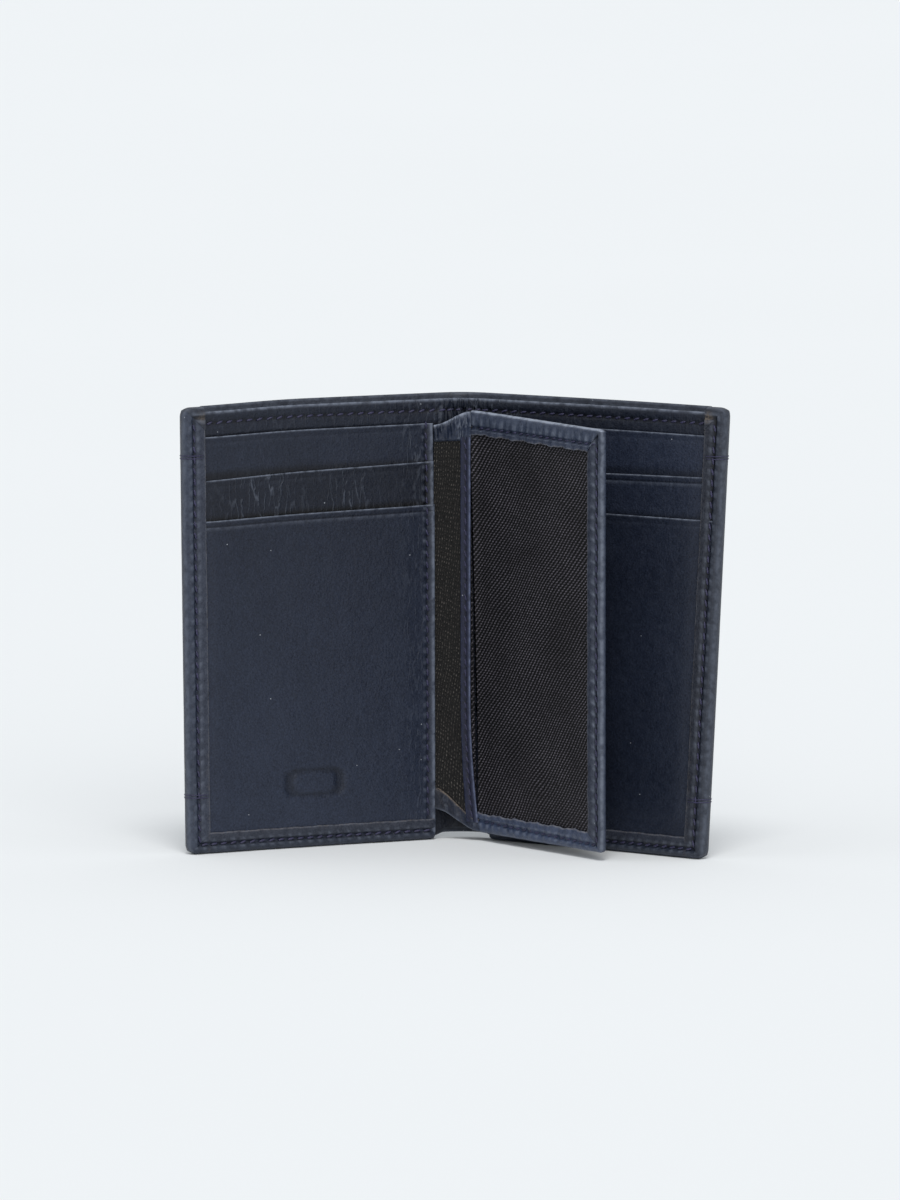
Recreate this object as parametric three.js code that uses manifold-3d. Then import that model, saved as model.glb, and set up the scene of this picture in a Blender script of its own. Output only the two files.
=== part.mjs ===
// A small trifold wallet of navy leather, standing open like a book.
//
// Two covers meet at a curved spine. Each cover is a stack: outer leather, bill compartment,
// divider and three card pockets, with the outer leather turned in over the stack's edges. A centre
// leaf with a mesh window is sewn into the left panel's inner seam and turns like a page.
//
// Millimetres, +Z up. +Y is the outside of the spine. The origin is under the middle of the object.

import * as THREE from 'three';
import { mergeVertices } from 'three/addons/utils/BufferGeometryUtils.js';
import Module from 'manifold-3d';

// ---------------------------------------------------------------- driving dimensions

const coverHeight = 105;
const coverWidth = 66;            // flat part of one cover, from the spine's curve to the outer edge
const spineLength = 13;           // leather round the outside of the spine
const coverTurn = 31;             // degrees that each cover comes forward from straight across
const leafTurn = 50;              // degrees that the centre leaf comes forward from straight across
const leafLength = 49.5;          // centre leaf, from its fold to its free edge

const coverLeather = 0.9;
const liningFabric = 0.2;
const billRoom = 0.4;             // room for folded notes, between the lining and the divider
const dividerLeather = 0.5;
const backingFabric = 0.15;
const pocketLeather = 0.3;
const turnedLeather = 0.55;       // the cover's edge, pared thin where it is turned in
const meshCloth = 0.2;

const layerGap = 0.1;             // clearance between two layers of a stack
const edgeGap = 0.3;              // clearance between a layer and the leather turned round it
const threadProud = 0.2;          // height of a thread above its leather
const threadGap = 0.05;           // clearance under a thread
const threadWidth = 0.5;

const sideTurnIn = 5.8;           // width of the turned-in strip along the outer edge
const bottomTurnIn = 5.3;         // and along the bottom edge
const cornerRadius = 2;
const innerMargin = 2.5;          // from the spine's curve to the pockets' inner edge
const dividerDrop = 1;            // the divider stops this far below the cover's top edge
const liningDrop = 1.6;
const slotDrops = [5, 15, 25.3];  // from the divider's top to the three pocket edges
const slotNames = ['top', 'middle', 'bottom'];

const edgeStitchInset = 2.3;      // perimeter stitch line, from the outer edge
const bottomStitchInset = 2.7;
const dividerStitchDrop = 2.5;
const seamStitchInset = 1.8;      // inner seam's stitch line, from the pockets' inner edge
const tackInset = 12.5;           // the two bar tacks, from the top and bottom edges
const tackLength = 5;

const leafTopDrop = 3.9;          // the leaf is lower than the covers at its top
const leafBottomRise = 1.6;       // and clear of the floor at its bottom
const leafClear = 0.9;            // between the leaf's back and the right panel's inner corner
const leafShift = 1.6;            // the fold's place to the right of the spine's middle
const frameTop = 5.6;             // widths of the leather frame round the window
const frameSide = 8.2;
const frameBottom = 5;
const frameLeather = 0.5;
const frameStitchInset = 2.9;
const bindingWidth = 2.1;
const bindingStart = 0.3;
const windowRoom = 0.2;           // room for a card behind the mesh
const leafLeather = 0.5;
const leafPocketDrop = 12;

const rootLeather = 0.5;
const rootTaper = 5;              // the root is this much shorter than the leaf at each end
const rootLiningInset = 4.5;
const spineRise = 1;              // the spine's leather lifts off the floor
const spineSteps = 24;

// ---------------------------------------------------------------- worked-out places

const turn = THREE.MathUtils.degToRad(coverTurn);
const spineRadius = spineLength / (2 * turn);
const spineEnd = new THREE.Vector2(spineRadius * Math.sin(turn), spineRadius * (Math.cos(turn) - 1));

// Depths of the layers, measured inwards from the outer leather's face.
const liningFrom = coverLeather + layerGap;
const dividerFrom = liningFrom + liningFabric + billRoom;
const backingFrom = dividerFrom + dividerLeather + layerGap;
const pocketFrom = (index) => backingFrom + backingFabric + layerGap + index * (pocketLeather + layerGap);
const turnedFrom = pocketFrom(slotDrops.length);
const stackDepth = turnedFrom + turnedLeather;

const dividerTop = coverHeight - dividerDrop;
const stackBottom = coverLeather + edgeGap;
const stackEdge = coverWidth - coverLeather - edgeGap;
const pocketTop = (index) => dividerTop - slotDrops[index];

const leafTop = coverHeight - leafTopDrop;
const windowTop = leafTop - frameTop;
const windowBottom = leafBottomRise + frameBottom;

// Depths of the leaf's layers, measured backwards from the front of its frame.
const meshFrom = frameLeather + layerGap;
const leafLiningFrom = meshFrom + meshCloth + windowRoom;
const leafBackFrom = leafLiningFrom + backingFabric + layerGap;
const leafPocketFrom = leafBackFrom + leafLeather + layerGap;
const leafDepth = leafPocketFrom + pocketLeather;

// ---------------------------------------------------------------- materials

const leather = (color) => new THREE.MeshStandardMaterial({ color, roughness: 0.5, metalness: 0 });
const coverNavy = leather(0x2b3446);
const panelNavy = leather(0x2a3342);
const leafNavy = leather(0x333c50);
const cloth = new THREE.MeshStandardMaterial({ color: 0x262322, roughness: 0.85, metalness: 0 });
const mesh = new THREE.MeshStandardMaterial({ color: 0x232128, roughness: 0.7, metalness: 0 });
const thread = new THREE.MeshStandardMaterial({ color: 0x2c2a42, roughness: 0.6, metalness: 0 });

// ---------------------------------------------------------------- solid helpers

const wasm = await Module();
wasm.setup();

function toSolid(geometry) {
  const bare = geometry.index ? geometry.toNonIndexed() : geometry.clone();
  bare.deleteAttribute('normal');
  bare.deleteAttribute('uv');
  const merged = mergeVertices(bare, 1e-5);
  return new wasm.Manifold(new wasm.Mesh({
    numProp: 3,
    vertProperties: new Float32Array(merged.attributes.position.array),
    triVerts: new Uint32Array(merged.index.array),
  }));
}

function toGeometry(solid) {
  const { vertProperties, triVerts } = solid.getMesh();
  const geometry = new THREE.BufferGeometry();
  geometry.setAttribute('position', new THREE.BufferAttribute(vertProperties, 3));
  geometry.setIndex(new THREE.BufferAttribute(triVerts, 1));
  geometry.computeVertexNormals();
  return geometry;
}

const joined = (pieces) => toGeometry(pieces.map(toSolid).reduce((whole, piece) => whole.add(piece)));

// A flat-sided block between three pairs of low and high places.
function slab(x0, x1, y0, y1, z0, z1) {
  const box = new THREE.BoxGeometry(x1 - x0, y1 - y0, z1 - z0);
  return box.translate((x0 + x1) / 2, (y0 + y1) / 2, (z0 + z1) / 2);
}

// An outline drawn in x and z, given its thickness along y from y0 towards +Y.
function upright(shape, y0, thickness) {
  const plate = new THREE.ExtrudeGeometry(shape, { depth: thickness, bevelEnabled: false, curveSegments: 6 });
  return plate.rotateX(Math.PI / 2).translate(0, y0 + thickness, 0);
}

// A rectangle whose two corners on the far side from x0 are rounded.
function roundedOutline(x0, x1, z0, z1, radius) {
  const shape = new THREE.Shape();
  shape.moveTo(x0, z0);
  shape.lineTo(x1 - radius, z0);
  shape.absarc(x1 - radius, z0 + radius, radius, -Math.PI / 2, 0, false);
  shape.lineTo(x1, z1 - radius);
  shape.absarc(x1 - radius, z1 - radius, radius, 0, Math.PI / 2, false);
  shape.lineTo(x0, z1);
  shape.closePath();
  return shape;
}

function polygon(points) {
  return new THREE.Shape(points.map(([x, z]) => new THREE.Vector2(x, z)));
}

function named(name, geometry, material) {
  const piece = new THREE.Mesh(geometry, material);
  piece.name = name;
  return piece;
}

// ---------------------------------------------------------------- one cover and its panel
//
// Drawn with x running from the spine's curve to the outer edge and depth along -Y.

function outerCover() {
  const wall = coverLeather;
  const face = slab(layerGap, coverWidth, -coverLeather, 0, 0, coverHeight);
  const sideWall = slab(coverWidth - wall, coverWidth, -stackDepth, 0, 0, dividerTop);
  const sideStrip = slab(coverWidth - sideTurnIn, coverWidth, -stackDepth, -turnedFrom, 0, dividerTop);
  const bottomWall = slab(innerMargin, coverWidth, -stackDepth, 0, 0, wall);
  const bottomStrip = slab(innerMargin, coverWidth, -stackDepth, -turnedFrom, 0, bottomTurnIn);
  const folded = [face, sideWall, sideStrip, bottomWall, bottomStrip].map(toSolid);
  const outline = roundedOutline(0, coverWidth, 0, coverHeight, cornerRadius);
  const trim = toSolid(upright(outline, -stackDepth - layerGap, stackDepth + 2 * layerGap));
  return toGeometry(folded.reduce((whole, piece) => whole.add(piece)).intersect(trim));
}

function layer(depth, thickness, from, top) {
  return slab(from, stackEdge, -depth - thickness, -depth, stackBottom, top);
}

function threadAbove(depth, x0, x1, z0, z1) {
  return slab(x0, x1, -depth - threadGap - threadProud, -depth - threadGap, z0, z1);
}

function edgeThread() {
  const x = coverWidth - edgeStitchInset;
  const z = bottomStitchInset;
  const half = threadWidth / 2;
  const upRun = threadAbove(stackDepth, x - half, x + half, z - half, dividerTop - dividerStitchDrop);
  const bottomRun = threadAbove(stackDepth, innerMargin + seamStitchInset, x, z - half, z + half);
  return joined([upRun, bottomRun]);
}

function dividerThread() {
  const z = dividerTop - dividerStitchDrop;
  const end = coverWidth - sideTurnIn - edgeGap;
  return threadAbove(dividerFrom + dividerLeather, innerMargin, end, z - threadWidth / 2, z + threadWidth / 2);
}

function seamThread() {
  const x = innerMargin + seamStitchInset;
  const lowest = bottomTurnIn + edgeGap;
  return threadAbove(turnedFrom - layerGap, x - threadWidth / 2, x + threadWidth / 2, lowest, pocketTop(0) - layerGap);
}

// A bar tack sews across the edge: a low bar beside the stitch line and a bridge over it.
function barTack(z) {
  const start = coverWidth - sideTurnIn + edgeGap;
  const bridgeDepth = stackDepth + threadGap + threadProud;
  const beforeStitch = coverWidth - edgeStitchInset - threadWidth / 2 - edgeGap;
  const foot = slab(
    start, beforeStitch, -bridgeDepth - threadProud, -stackDepth - threadGap, z - threadWidth, z + threadWidth,
  );
  const bridge = threadAbove(bridgeDepth, start, start + tackLength, z - threadWidth, z + threadWidth);
  return joined([foot, bridge]);
}

function cover(side, mirror) {
  const panel = new THREE.Group();
  panel.position.set(spineEnd.x, spineEnd.y, 0);
  panel.rotation.z = -turn;
  panel.add(named(`${side}_outer_cover`, outerCover(), coverNavy));
  panel.add(named(`${side}_cover_lining`, layer(liningFrom, liningFabric, layerGap, coverHeight - liningDrop), cloth));
  panel.add(named(`${side}_bill_divider`, layer(dividerFrom, dividerLeather, layerGap, dividerTop), panelNavy));
  panel.add(named(`${side}_pocket_backing`, layer(backingFrom, backingFabric, innerMargin, pocketTop(0)), cloth));
  slotNames.forEach((slot, index) => {
    const pocket = layer(pocketFrom(index), pocketLeather, innerMargin, pocketTop(index));
    panel.add(named(`${side}_card_pocket_${slot}`, pocket, panelNavy));
  });
  panel.add(named(`${side}_edge_thread`, edgeThread(), thread));
  panel.add(named(`${side}_divider_thread`, dividerThread(), thread));
  panel.add(named(`${side}_inner_seam_thread`, seamThread(), thread));
  panel.add(named(`${side}_upper_bar_tack`, barTack(coverHeight - tackInset), thread));
  panel.add(named(`${side}_lower_bar_tack`, barTack(tackInset), thread));
  const half = new THREE.Group();
  half.scale.x = mirror;
  half.add(panel);
  return half;
}

// ---------------------------------------------------------------- the spine

function spineLayer(depth, thickness, z0, z1) {
  const outer = spineRadius - depth;
  const inner = outer - thickness;
  const reach = turn - layerGap / spineRadius;
  const shape = new THREE.Shape();
  shape.absarc(0, -spineRadius, outer, Math.PI / 2 - reach, Math.PI / 2 + reach, false);
  shape.absarc(0, -spineRadius, inner, Math.PI / 2 + reach, Math.PI / 2 - reach, true);
  shape.closePath();
  const strip = new THREE.ExtrudeGeometry(shape, { depth: z1 - z0, bevelEnabled: false, curveSegments: spineSteps });
  return strip.translate(0, 0, z0);
}

function spine() {
  const group = new THREE.Group();
  group.add(named('spine_cover', spineLayer(0, coverLeather, spineRise, coverHeight), coverNavy));
  const liningTop = coverHeight - liningDrop;
  group.add(named('spine_lining', spineLayer(liningFrom, liningFabric, stackBottom, liningTop), cloth));
  group.add(named('spine_bill_divider', spineLayer(dividerFrom, dividerLeather, stackBottom, dividerTop), panelNavy));
  return group;
}

// ---------------------------------------------------------------- the centre leaf
//
// Drawn with x running from the fold to the free edge and depth along +Y.

const lean = THREE.MathUtils.degToRad(leafTurn);
const leafNormal = new THREE.Vector2(Math.sin(lean), Math.cos(lean));

// The right panel's inner corner, which the back of the leaf stays clear of.
function rightInnerCorner() {
  const along = innerMargin;
  const x = spineEnd.x + along * Math.cos(turn) - stackDepth * Math.sin(turn);
  const y = spineEnd.y - along * Math.sin(turn) - stackDepth * Math.cos(turn);
  return new THREE.Vector2(x, y);
}

function foldPoint() {
  const front = rightInnerCorner().dot(leafNormal) - leafClear - leafDepth;
  return new THREE.Vector2(leafShift, (front - leafShift * leafNormal.x) / leafNormal.y);
}

function leafPlate(from, thickness, x0, top) {
  return upright(roundedOutline(x0, leafLength, leafBottomRise, top, cornerRadius), from, thickness);
}

function windowFrame() {
  const plate = toSolid(leafPlate(0, frameLeather, bindingStart, leafTop));
  const window = slab(0, leafLength - frameSide, -layerGap, frameLeather + layerGap, windowBottom, windowTop);
  return toGeometry(plate.subtract(toSolid(window)));
}

function frameThread() {
  const y0 = -threadGap - threadProud;
  const half = threadWidth / 2;
  const high = leafTop - frameStitchInset;
  const low = leafBottomRise + frameStitchInset - half;
  const right = leafLength - frameStitchInset;
  const topRun = slab(bindingStart, right + half, y0, -threadGap, high - half, high + half);
  const sideRun = slab(right - half, right + half, y0, -threadGap, low - half, high + half);
  const bottomRun = slab(bindingStart, right + half, y0, -threadGap, low - half, low + half);
  return joined([topRun, sideRun, bottomRun]);
}

function meshWindow() {
  const edge = leafLength - frameStitchInset;
  const low = leafBottomRise + frameStitchInset;
  return slab(bindingStart, edge, meshFrom, meshFrom + meshCloth, low, leafTop - frameStitchInset);
}

function centreLeaf() {
  const leaf = new THREE.Group();
  const fold = foldPoint();
  leaf.position.set(fold.x, fold.y, 0);
  leaf.rotation.z = -lean;
  const bindingEnd = bindingStart + bindingWidth;
  const bindingMiddle = bindingStart + bindingWidth / 2;
  const low = windowBottom + layerGap;
  const high = windowTop - layerGap;
  const binding = slab(bindingStart, bindingEnd, 0, frameLeather, low, high);
  const half = threadWidth / 2;
  const stitch = slab(bindingMiddle - half, bindingMiddle + half, -threadGap - threadProud, -threadGap, low, high);
  leaf.add(named('leaf_window_frame', windowFrame(), leafNavy));
  leaf.add(named('leaf_mesh_window', meshWindow(), mesh));
  leaf.add(named('leaf_mesh_binding', binding, leafNavy));
  leaf.add(named('leaf_lining', leafPlate(leafLiningFrom, backingFabric, bindingStart, leafTop), cloth));
  leaf.add(named('leaf_back_leather', leafPlate(leafBackFrom, leafLeather, bindingStart, leafTop), leafNavy));
  const pocket = leafPlate(leafPocketFrom, pocketLeather, bindingStart, leafTop - leafPocketDrop);
  leaf.add(named('leaf_back_pocket', pocket, leafNavy));
  leaf.add(named('leaf_frame_thread', frameThread(), thread));
  leaf.add(named('leaf_binding_thread', stitch, thread));
  return leaf;
}

// ---------------------------------------------------------------- the leaf's sewn root
//
// Drawn with x running from the left panel's inner seam to the fold, depth along +Y.

function leafRoot() {
  const corner = rightInnerCorner();
  const start = new THREE.Vector2(-corner.x + edgeGap, corner.y + edgeGap);
  const end = foldPoint().add(new THREE.Vector2(-edgeGap, edgeGap));
  const length = start.distanceTo(end) - edgeGap;
  const low = leafBottomRise;
  const high = leafTop;
  const outline = polygon([
    [edgeGap, low + rootTaper], [length, low], [length, high], [edgeGap, high - rootTaper],
  ]);
  const inset = rootLiningInset + rootTaper;
  const root = new THREE.Group();
  root.position.set(start.x, start.y, 0);
  root.rotation.z = Math.atan2(end.y - start.y, end.x - start.x);
  root.add(named('leaf_root_leather', upright(outline, 0, rootLeather), leafNavy));
  const lining = slab(edgeGap, length, -layerGap - backingFabric, -layerGap, low + inset, high - inset);
  root.add(named('leaf_root_lining', lining, cloth));
  return root;
}

// ---------------------------------------------------------------- the whole wallet

const wallet = new THREE.Group();
wallet.add(cover('left', -1));
wallet.add(cover('right', 1));
wallet.add(spine());
wallet.add(centreLeaf());
wallet.add(leafRoot());

const extent = new THREE.Box3().setFromObject(wallet, true);
const middle = extent.getCenter(new THREE.Vector3());
wallet.position.set(-middle.x, -middle.y, -extent.min.z);

export default wallet;
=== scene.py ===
"""Trifold wallet of navy leather, standing open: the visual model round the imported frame."""
import math

import bmesh
import bpy
import numpy as np
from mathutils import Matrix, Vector


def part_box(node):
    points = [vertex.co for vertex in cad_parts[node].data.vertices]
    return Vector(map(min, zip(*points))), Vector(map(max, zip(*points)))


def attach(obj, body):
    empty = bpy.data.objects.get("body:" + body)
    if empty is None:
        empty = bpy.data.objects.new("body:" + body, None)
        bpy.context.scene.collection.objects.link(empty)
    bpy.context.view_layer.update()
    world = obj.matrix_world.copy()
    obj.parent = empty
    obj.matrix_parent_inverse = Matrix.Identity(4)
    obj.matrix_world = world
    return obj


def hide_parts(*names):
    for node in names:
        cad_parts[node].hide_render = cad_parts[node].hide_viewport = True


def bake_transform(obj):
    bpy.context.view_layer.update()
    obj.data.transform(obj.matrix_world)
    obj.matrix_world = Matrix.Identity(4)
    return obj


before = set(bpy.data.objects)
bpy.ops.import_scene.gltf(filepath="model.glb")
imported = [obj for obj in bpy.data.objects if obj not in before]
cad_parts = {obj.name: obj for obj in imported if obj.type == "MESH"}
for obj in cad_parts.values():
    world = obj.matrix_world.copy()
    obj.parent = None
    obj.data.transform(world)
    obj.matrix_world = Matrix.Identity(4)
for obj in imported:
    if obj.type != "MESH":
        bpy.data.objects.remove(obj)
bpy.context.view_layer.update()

bl_info = {
    "name": "Trifold wallet",
    "version": (1, 0, 0),
    "blender": (4, 5, 0),
    "location": "View3D > Sidebar > Wallet",
    "description": "Builds a small leather wallet with card pockets and a mesh window leaf",
    "category": "Add Mesh",
}

MM = 0.001

# ------------------------------------------------------------------ sizes, in millimetres

SPINE_BACK_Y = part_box("spine_cover")[1][1] / MM
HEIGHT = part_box("left_outer_cover")[1][2] / MM
HALF_SPINE = 6.5
COVER_WIDTH = 66.6
EDGE = HALF_SPINE + COVER_WIDTH       # developed distance from the spine's middle to the edge
COVER_TURN = {"left": (32.4, 30.2), "right": (34.2, 28.0)}  # degrees at the bottom and the top
COVER_STRETCH = {"left": (1.012, 1.012), "right": (0.98, 0.997)}  # pulled longer or shorter, bottom and top
CORNER_DROP = {"left": 0.7, "right": 0.1}  # the upper outer corner sags
COVER_BOW = 0.7                       # how far the middle of a cover bellies outwards
STACK = 4.1                           # thickness of a cover and its panel at the turned edge
HEM = 1.5                             # leather folded on itself
LEATHER = 0.9
STRIP = 5.3                           # width of the turned-in edge
EDGE_RADIUS = 1.15                    # how far the turned edge bulges
TACK_HEIGHTS = {"upper": HEIGHT - 11.6, "lower": 13.6}
STITCH_INSET = 2.35
STITCH_PITCH = 2.55
STITCH_STEP = STITCH_PITCH / 4        # grid spacing that follows the stitches
DIVIDER_TOP = HEIGHT - 1.25
SLOT_TOPS = (DIVIDER_TOP - 5.4, DIVIDER_TOP - 15.1, DIVIDER_TOP - 25.5)
SLOT_SLANT = {                        # how far each slot lies off level, by the spine and by the edge
    "left": ((-0.25, -0.5), (0.5, -1.1), (0.75, -0.3)),
    "right": ((0.0, 0.0), (-1.2, 0.0), (0.5, 0.5)),
}
INNER_EDGE = HALF_SPINE + 2.5         # where the pockets stop beside the spine
SPINE_LIFT = 1.3                      # the spine's bottom edge lifts off the table

LEAF_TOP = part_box("leaf_back_leather")[1][2] / MM
LEAF_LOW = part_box("leaf_back_leather")[0][2] / MM + 0.3
LEAF_FOLD = (1.6, SPINE_BACK_Y - 5.8)
LEAF_TURN = (51.0, 48.6)              # degrees at the bottom and the top
LEAF_START_TURN = 36.0                # the leaf leaves its root nearly straight across
LEAF_CURVE = 3.2                      # length over which it turns
LEAF_REACH = 32.9                     # how far the leaf's free edge stands to the right of its fold
LEAF_LENGTH = 50.0
LEAF_DEPTH = 2.2
LEAF_FALL = 0.8                       # the free edge is cut this much shorter above
LEAF_SKEW = 3.4                       # the fold wanders towards the free edge at the bottom
LEAF_SKEW_REACH = 34.0
FRAME_SIDE = 5.2
FRAME_TOP = 5.6
FRAME_BOTTOM = 4.6


# ------------------------------------------------------------------ colours

def srgb(text):
    """Linear RGBA of an sRGB hex colour."""
    parts = [int(text[i:i + 2], 16) / 255 for i in (1, 3, 5)]
    linear = [c / 12.92 if c <= 0.04045 else ((c + 0.055) / 1.055) ** 2.4 for c in parts]
    return (*linear, 1.0)


def smooth(x, low, high):
    """0 below low, 1 above high, smooth between; works on arrays."""
    t = np.clip((np.asarray(x, float) - low) / (high - low), 0, 1)
    return t * t * (3 - 2 * t)


def hill(x, width):
    """1 at 0, falling smoothly to nothing within about twice the width."""
    return np.exp(-((x / width) ** 2))


# ------------------------------------------------------------------ the open wallet's shape

def cover_place(side):
    """Returns a function from (s, t, z) to a place.

    s is the distance round the outside from the spine's middle, t the depth inwards from the
    outer face and z the height.
    """
    low, high = COVER_TURN[side]
    least, most = COVER_STRETCH[side]
    sign = 1.0 if side == "right" else -1.0

    def place(s, t, z):
        s, t, z = (np.asarray(v, float) for v in np.broadcast_arrays(s, t, z))
        turn = np.radians(low + (high - low) * z / HEIGHT)
        radius = HALF_SPINE / turn
        angle = turn * np.clip(s / HALF_SPINE, 0, 1)
        past = np.clip(s - HALF_SPINE, 0, None) * (least + (most - least) * z / HEIGHT)
        depth = t - COVER_BOW * np.sin(math.pi * np.clip(past / COVER_WIDTH, 0, 1))
        x = radius * np.sin(angle) + past * np.cos(turn) - depth * np.sin(angle)
        y = -radius * (1 - np.cos(angle)) - past * np.sin(turn) - depth * np.cos(angle)
        lift = SPINE_LIFT * (1 - smooth(s, HALF_SPINE - 1.5, INNER_EDGE + 1)) * (1 - smooth(z, 0, 16))
        lift = lift - CORNER_DROP[side] * smooth(s, EDGE - 32, EDGE) * smooth(z, 50, HEIGHT)
        return np.stack([sign * x, SPINE_BACK_Y + y, z + lift], -1)

    return place


def leaf_place(a, t, z):
    """a runs from the leaf's fold to its free edge, t forwards from its back face."""
    a, t, z = (np.asarray(v, float) for v in np.broadcast_arrays(a, t, z))
    full = np.radians(LEAF_TURN[0] + (LEAF_TURN[1] - LEAF_TURN[0]) * z / HEIGHT)
    share = np.clip(a / LEAF_LENGTH, 0, 1)
    level = z - share * LEAF_FALL * z / HEIGHT
    skew = LEAF_SKEW * np.clip(1 - z / LEAF_SKEW_REACH, 0, 1) ** 2
    a = skew + a * (LEAF_REACH / np.cos(full) - skew) / LEAF_LENGTH
    first = math.radians(LEAF_START_TURN)
    bend = LEAF_CURVE / (full - first)
    angle = first + (full - first) * np.clip(a / LEAF_CURVE, 0, 1)
    past = np.clip(a - LEAF_CURVE, 0, None) + np.clip(a, None, 0)
    x = bend * (np.sin(angle) - math.sin(first)) + past * np.cos(angle)
    y = bend * (np.cos(angle) - math.cos(first)) - past * np.sin(angle)
    depth = t - LEAF_DEPTH + 0.12 * np.sin(a / 9.0 + z / 31.0) * smooth(a, 2, 12)
    return np.stack([
        LEAF_FOLD[0] + x - depth * np.sin(angle), LEAF_FOLD[1] + y - depth * np.cos(angle), level], -1)


# ------------------------------------------------------------------ mesh helpers

def linked(name, data):
    """A new object of the scene that holds the data."""
    obj = bpy.data.objects.new(name, data)
    bpy.context.scene.collection.objects.link(obj)
    return obj


def ground_point(place):
    """The point of the ground below a place given in millimetres."""
    return Vector((place[0], place[1], 0.0)) * MM


def together(*runs):
    """The values of several runs in order, each once."""
    return np.unique(np.round(np.concatenate(runs), 4))


def new_piece(name, points, faces, material, uv=None, marks=None, sharp=50):
    """A closed mesh object from points in millimetres; marks are named values at the points."""
    data = bpy.data.meshes.new(name)
    obj = linked(name, data)
    bm = bmesh.new()
    layers = {key: bm.verts.layers.float.new(key) for key in (marks or {})}
    across = bm.verts.layers.float.new("across")
    along = bm.verts.layers.float.new("along")
    points = np.asarray(points, float) * MM
    flat = np.zeros((len(points), 2)) if uv is None else np.asarray(uv, float)
    made = [bm.verts.new(p) for p in points.tolist()]
    for vert, place in zip(made, flat.tolist()):
        vert[across] = place[0]
        vert[along] = place[1]
    for key, values in (marks or {}).items():
        for vert, value in zip(made, np.asarray(values, float).tolist()):
            vert[layers[key]] = value
    for face in faces:
        try:
            bm.faces.new([made[i] for i in face])
        except ValueError:
            pass
    bmesh.ops.remove_doubles(bm, verts=bm.verts, dist=2e-6)
    bmesh.ops.dissolve_degenerate(bm, edges=bm.edges, dist=1e-7)
    rims = [e for e in bm.edges if e.is_boundary]
    if rims:
        bmesh.ops.holes_fill(bm, edges=rims, sides=0)
    bmesh.ops.recalc_face_normals(bm, faces=bm.faces)
    bm.to_mesh(data)
    bm.free()
    data.polygons.foreach_set("use_smooth", [True] * len(data.polygons))
    data.set_sharp_from_angle(angle=math.radians(sharp))
    data.materials.append(material)
    return obj


def grid_faces(rows, columns, start=0):
    """Quads of a grid whose points are numbered row by row."""
    return [
        (start + r * columns + c, start + (r + 1) * columns + c,
         start + (r + 1) * columns + c + 1, start + r * columns + c + 1)
        for r in range(rows - 1) for c in range(columns - 1)
    ]


def sheet(name, place, across, up, front, back, material, marks=None, sharp=50):
    """A closed thin sheet between two depths, each a function of the (across, up) grid."""
    a, z = np.meshgrid(across, up, indexing="ij")
    skins = [place(a, front(a, z), z), place(a, back(a, z), z)]
    points = np.concatenate([skin.reshape(-1, 3) for skin in skins])
    count = a.size
    rows, columns = a.shape
    faces = grid_faces(rows, columns) + [f[::-1] for f in grid_faces(rows, columns, count)]
    loop = [r * columns for r in range(rows)]
    loop += [(rows - 1) * columns + c for c in range(1, columns)]
    loop += [r * columns + columns - 1 for r in range(rows - 2, -1, -1)]
    loop += [c for c in range(columns - 2, 0, -1)]
    for here, there in zip(loop, loop[1:] + loop[:1]):
        faces.append((here, there, there + count, here + count))
    uv = np.stack([a.ravel(), z.ravel()], -1)
    values = {}
    for key, make in (marks or {}).items():
        values[key] = np.tile(np.broadcast_to(make(a, z), a.shape).ravel(), 2)
    return new_piece(name, points, faces, material, np.tile(uv, (2, 1)), values, sharp)


def steps(low, high, gap):
    """Evenly spaced values from low to high, about gap apart."""
    return np.linspace(low, high, max(2, round((high - low) / gap) + 1))


def with_edges(values, radius=0.3, low=True, high=True):
    """Adds values close to the ends, so that a rounded edge has enough points."""
    close = radius * np.array([0.03, 0.12, 0.3, 0.55, 1.0, 1.7])
    extra = []
    if low:
        extra.append(values[0] + close)
    if high:
        extra.append(values[-1] - close)
    return together(values, *extra)


def rounded(distance, half):
    """Half thickness of a sheet at a distance from its rounded edge."""
    inside = np.clip(np.asarray(distance, float) / half, 0, 1)
    return half * np.sqrt(np.clip(1 - (1 - inside) ** 2, 0, 1)) + 0.01


# ------------------------------------------------------------------ leather turned in round an edge

LAST_TURN_ROW = 12                    # rows past this one lie on the turned-in side


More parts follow.
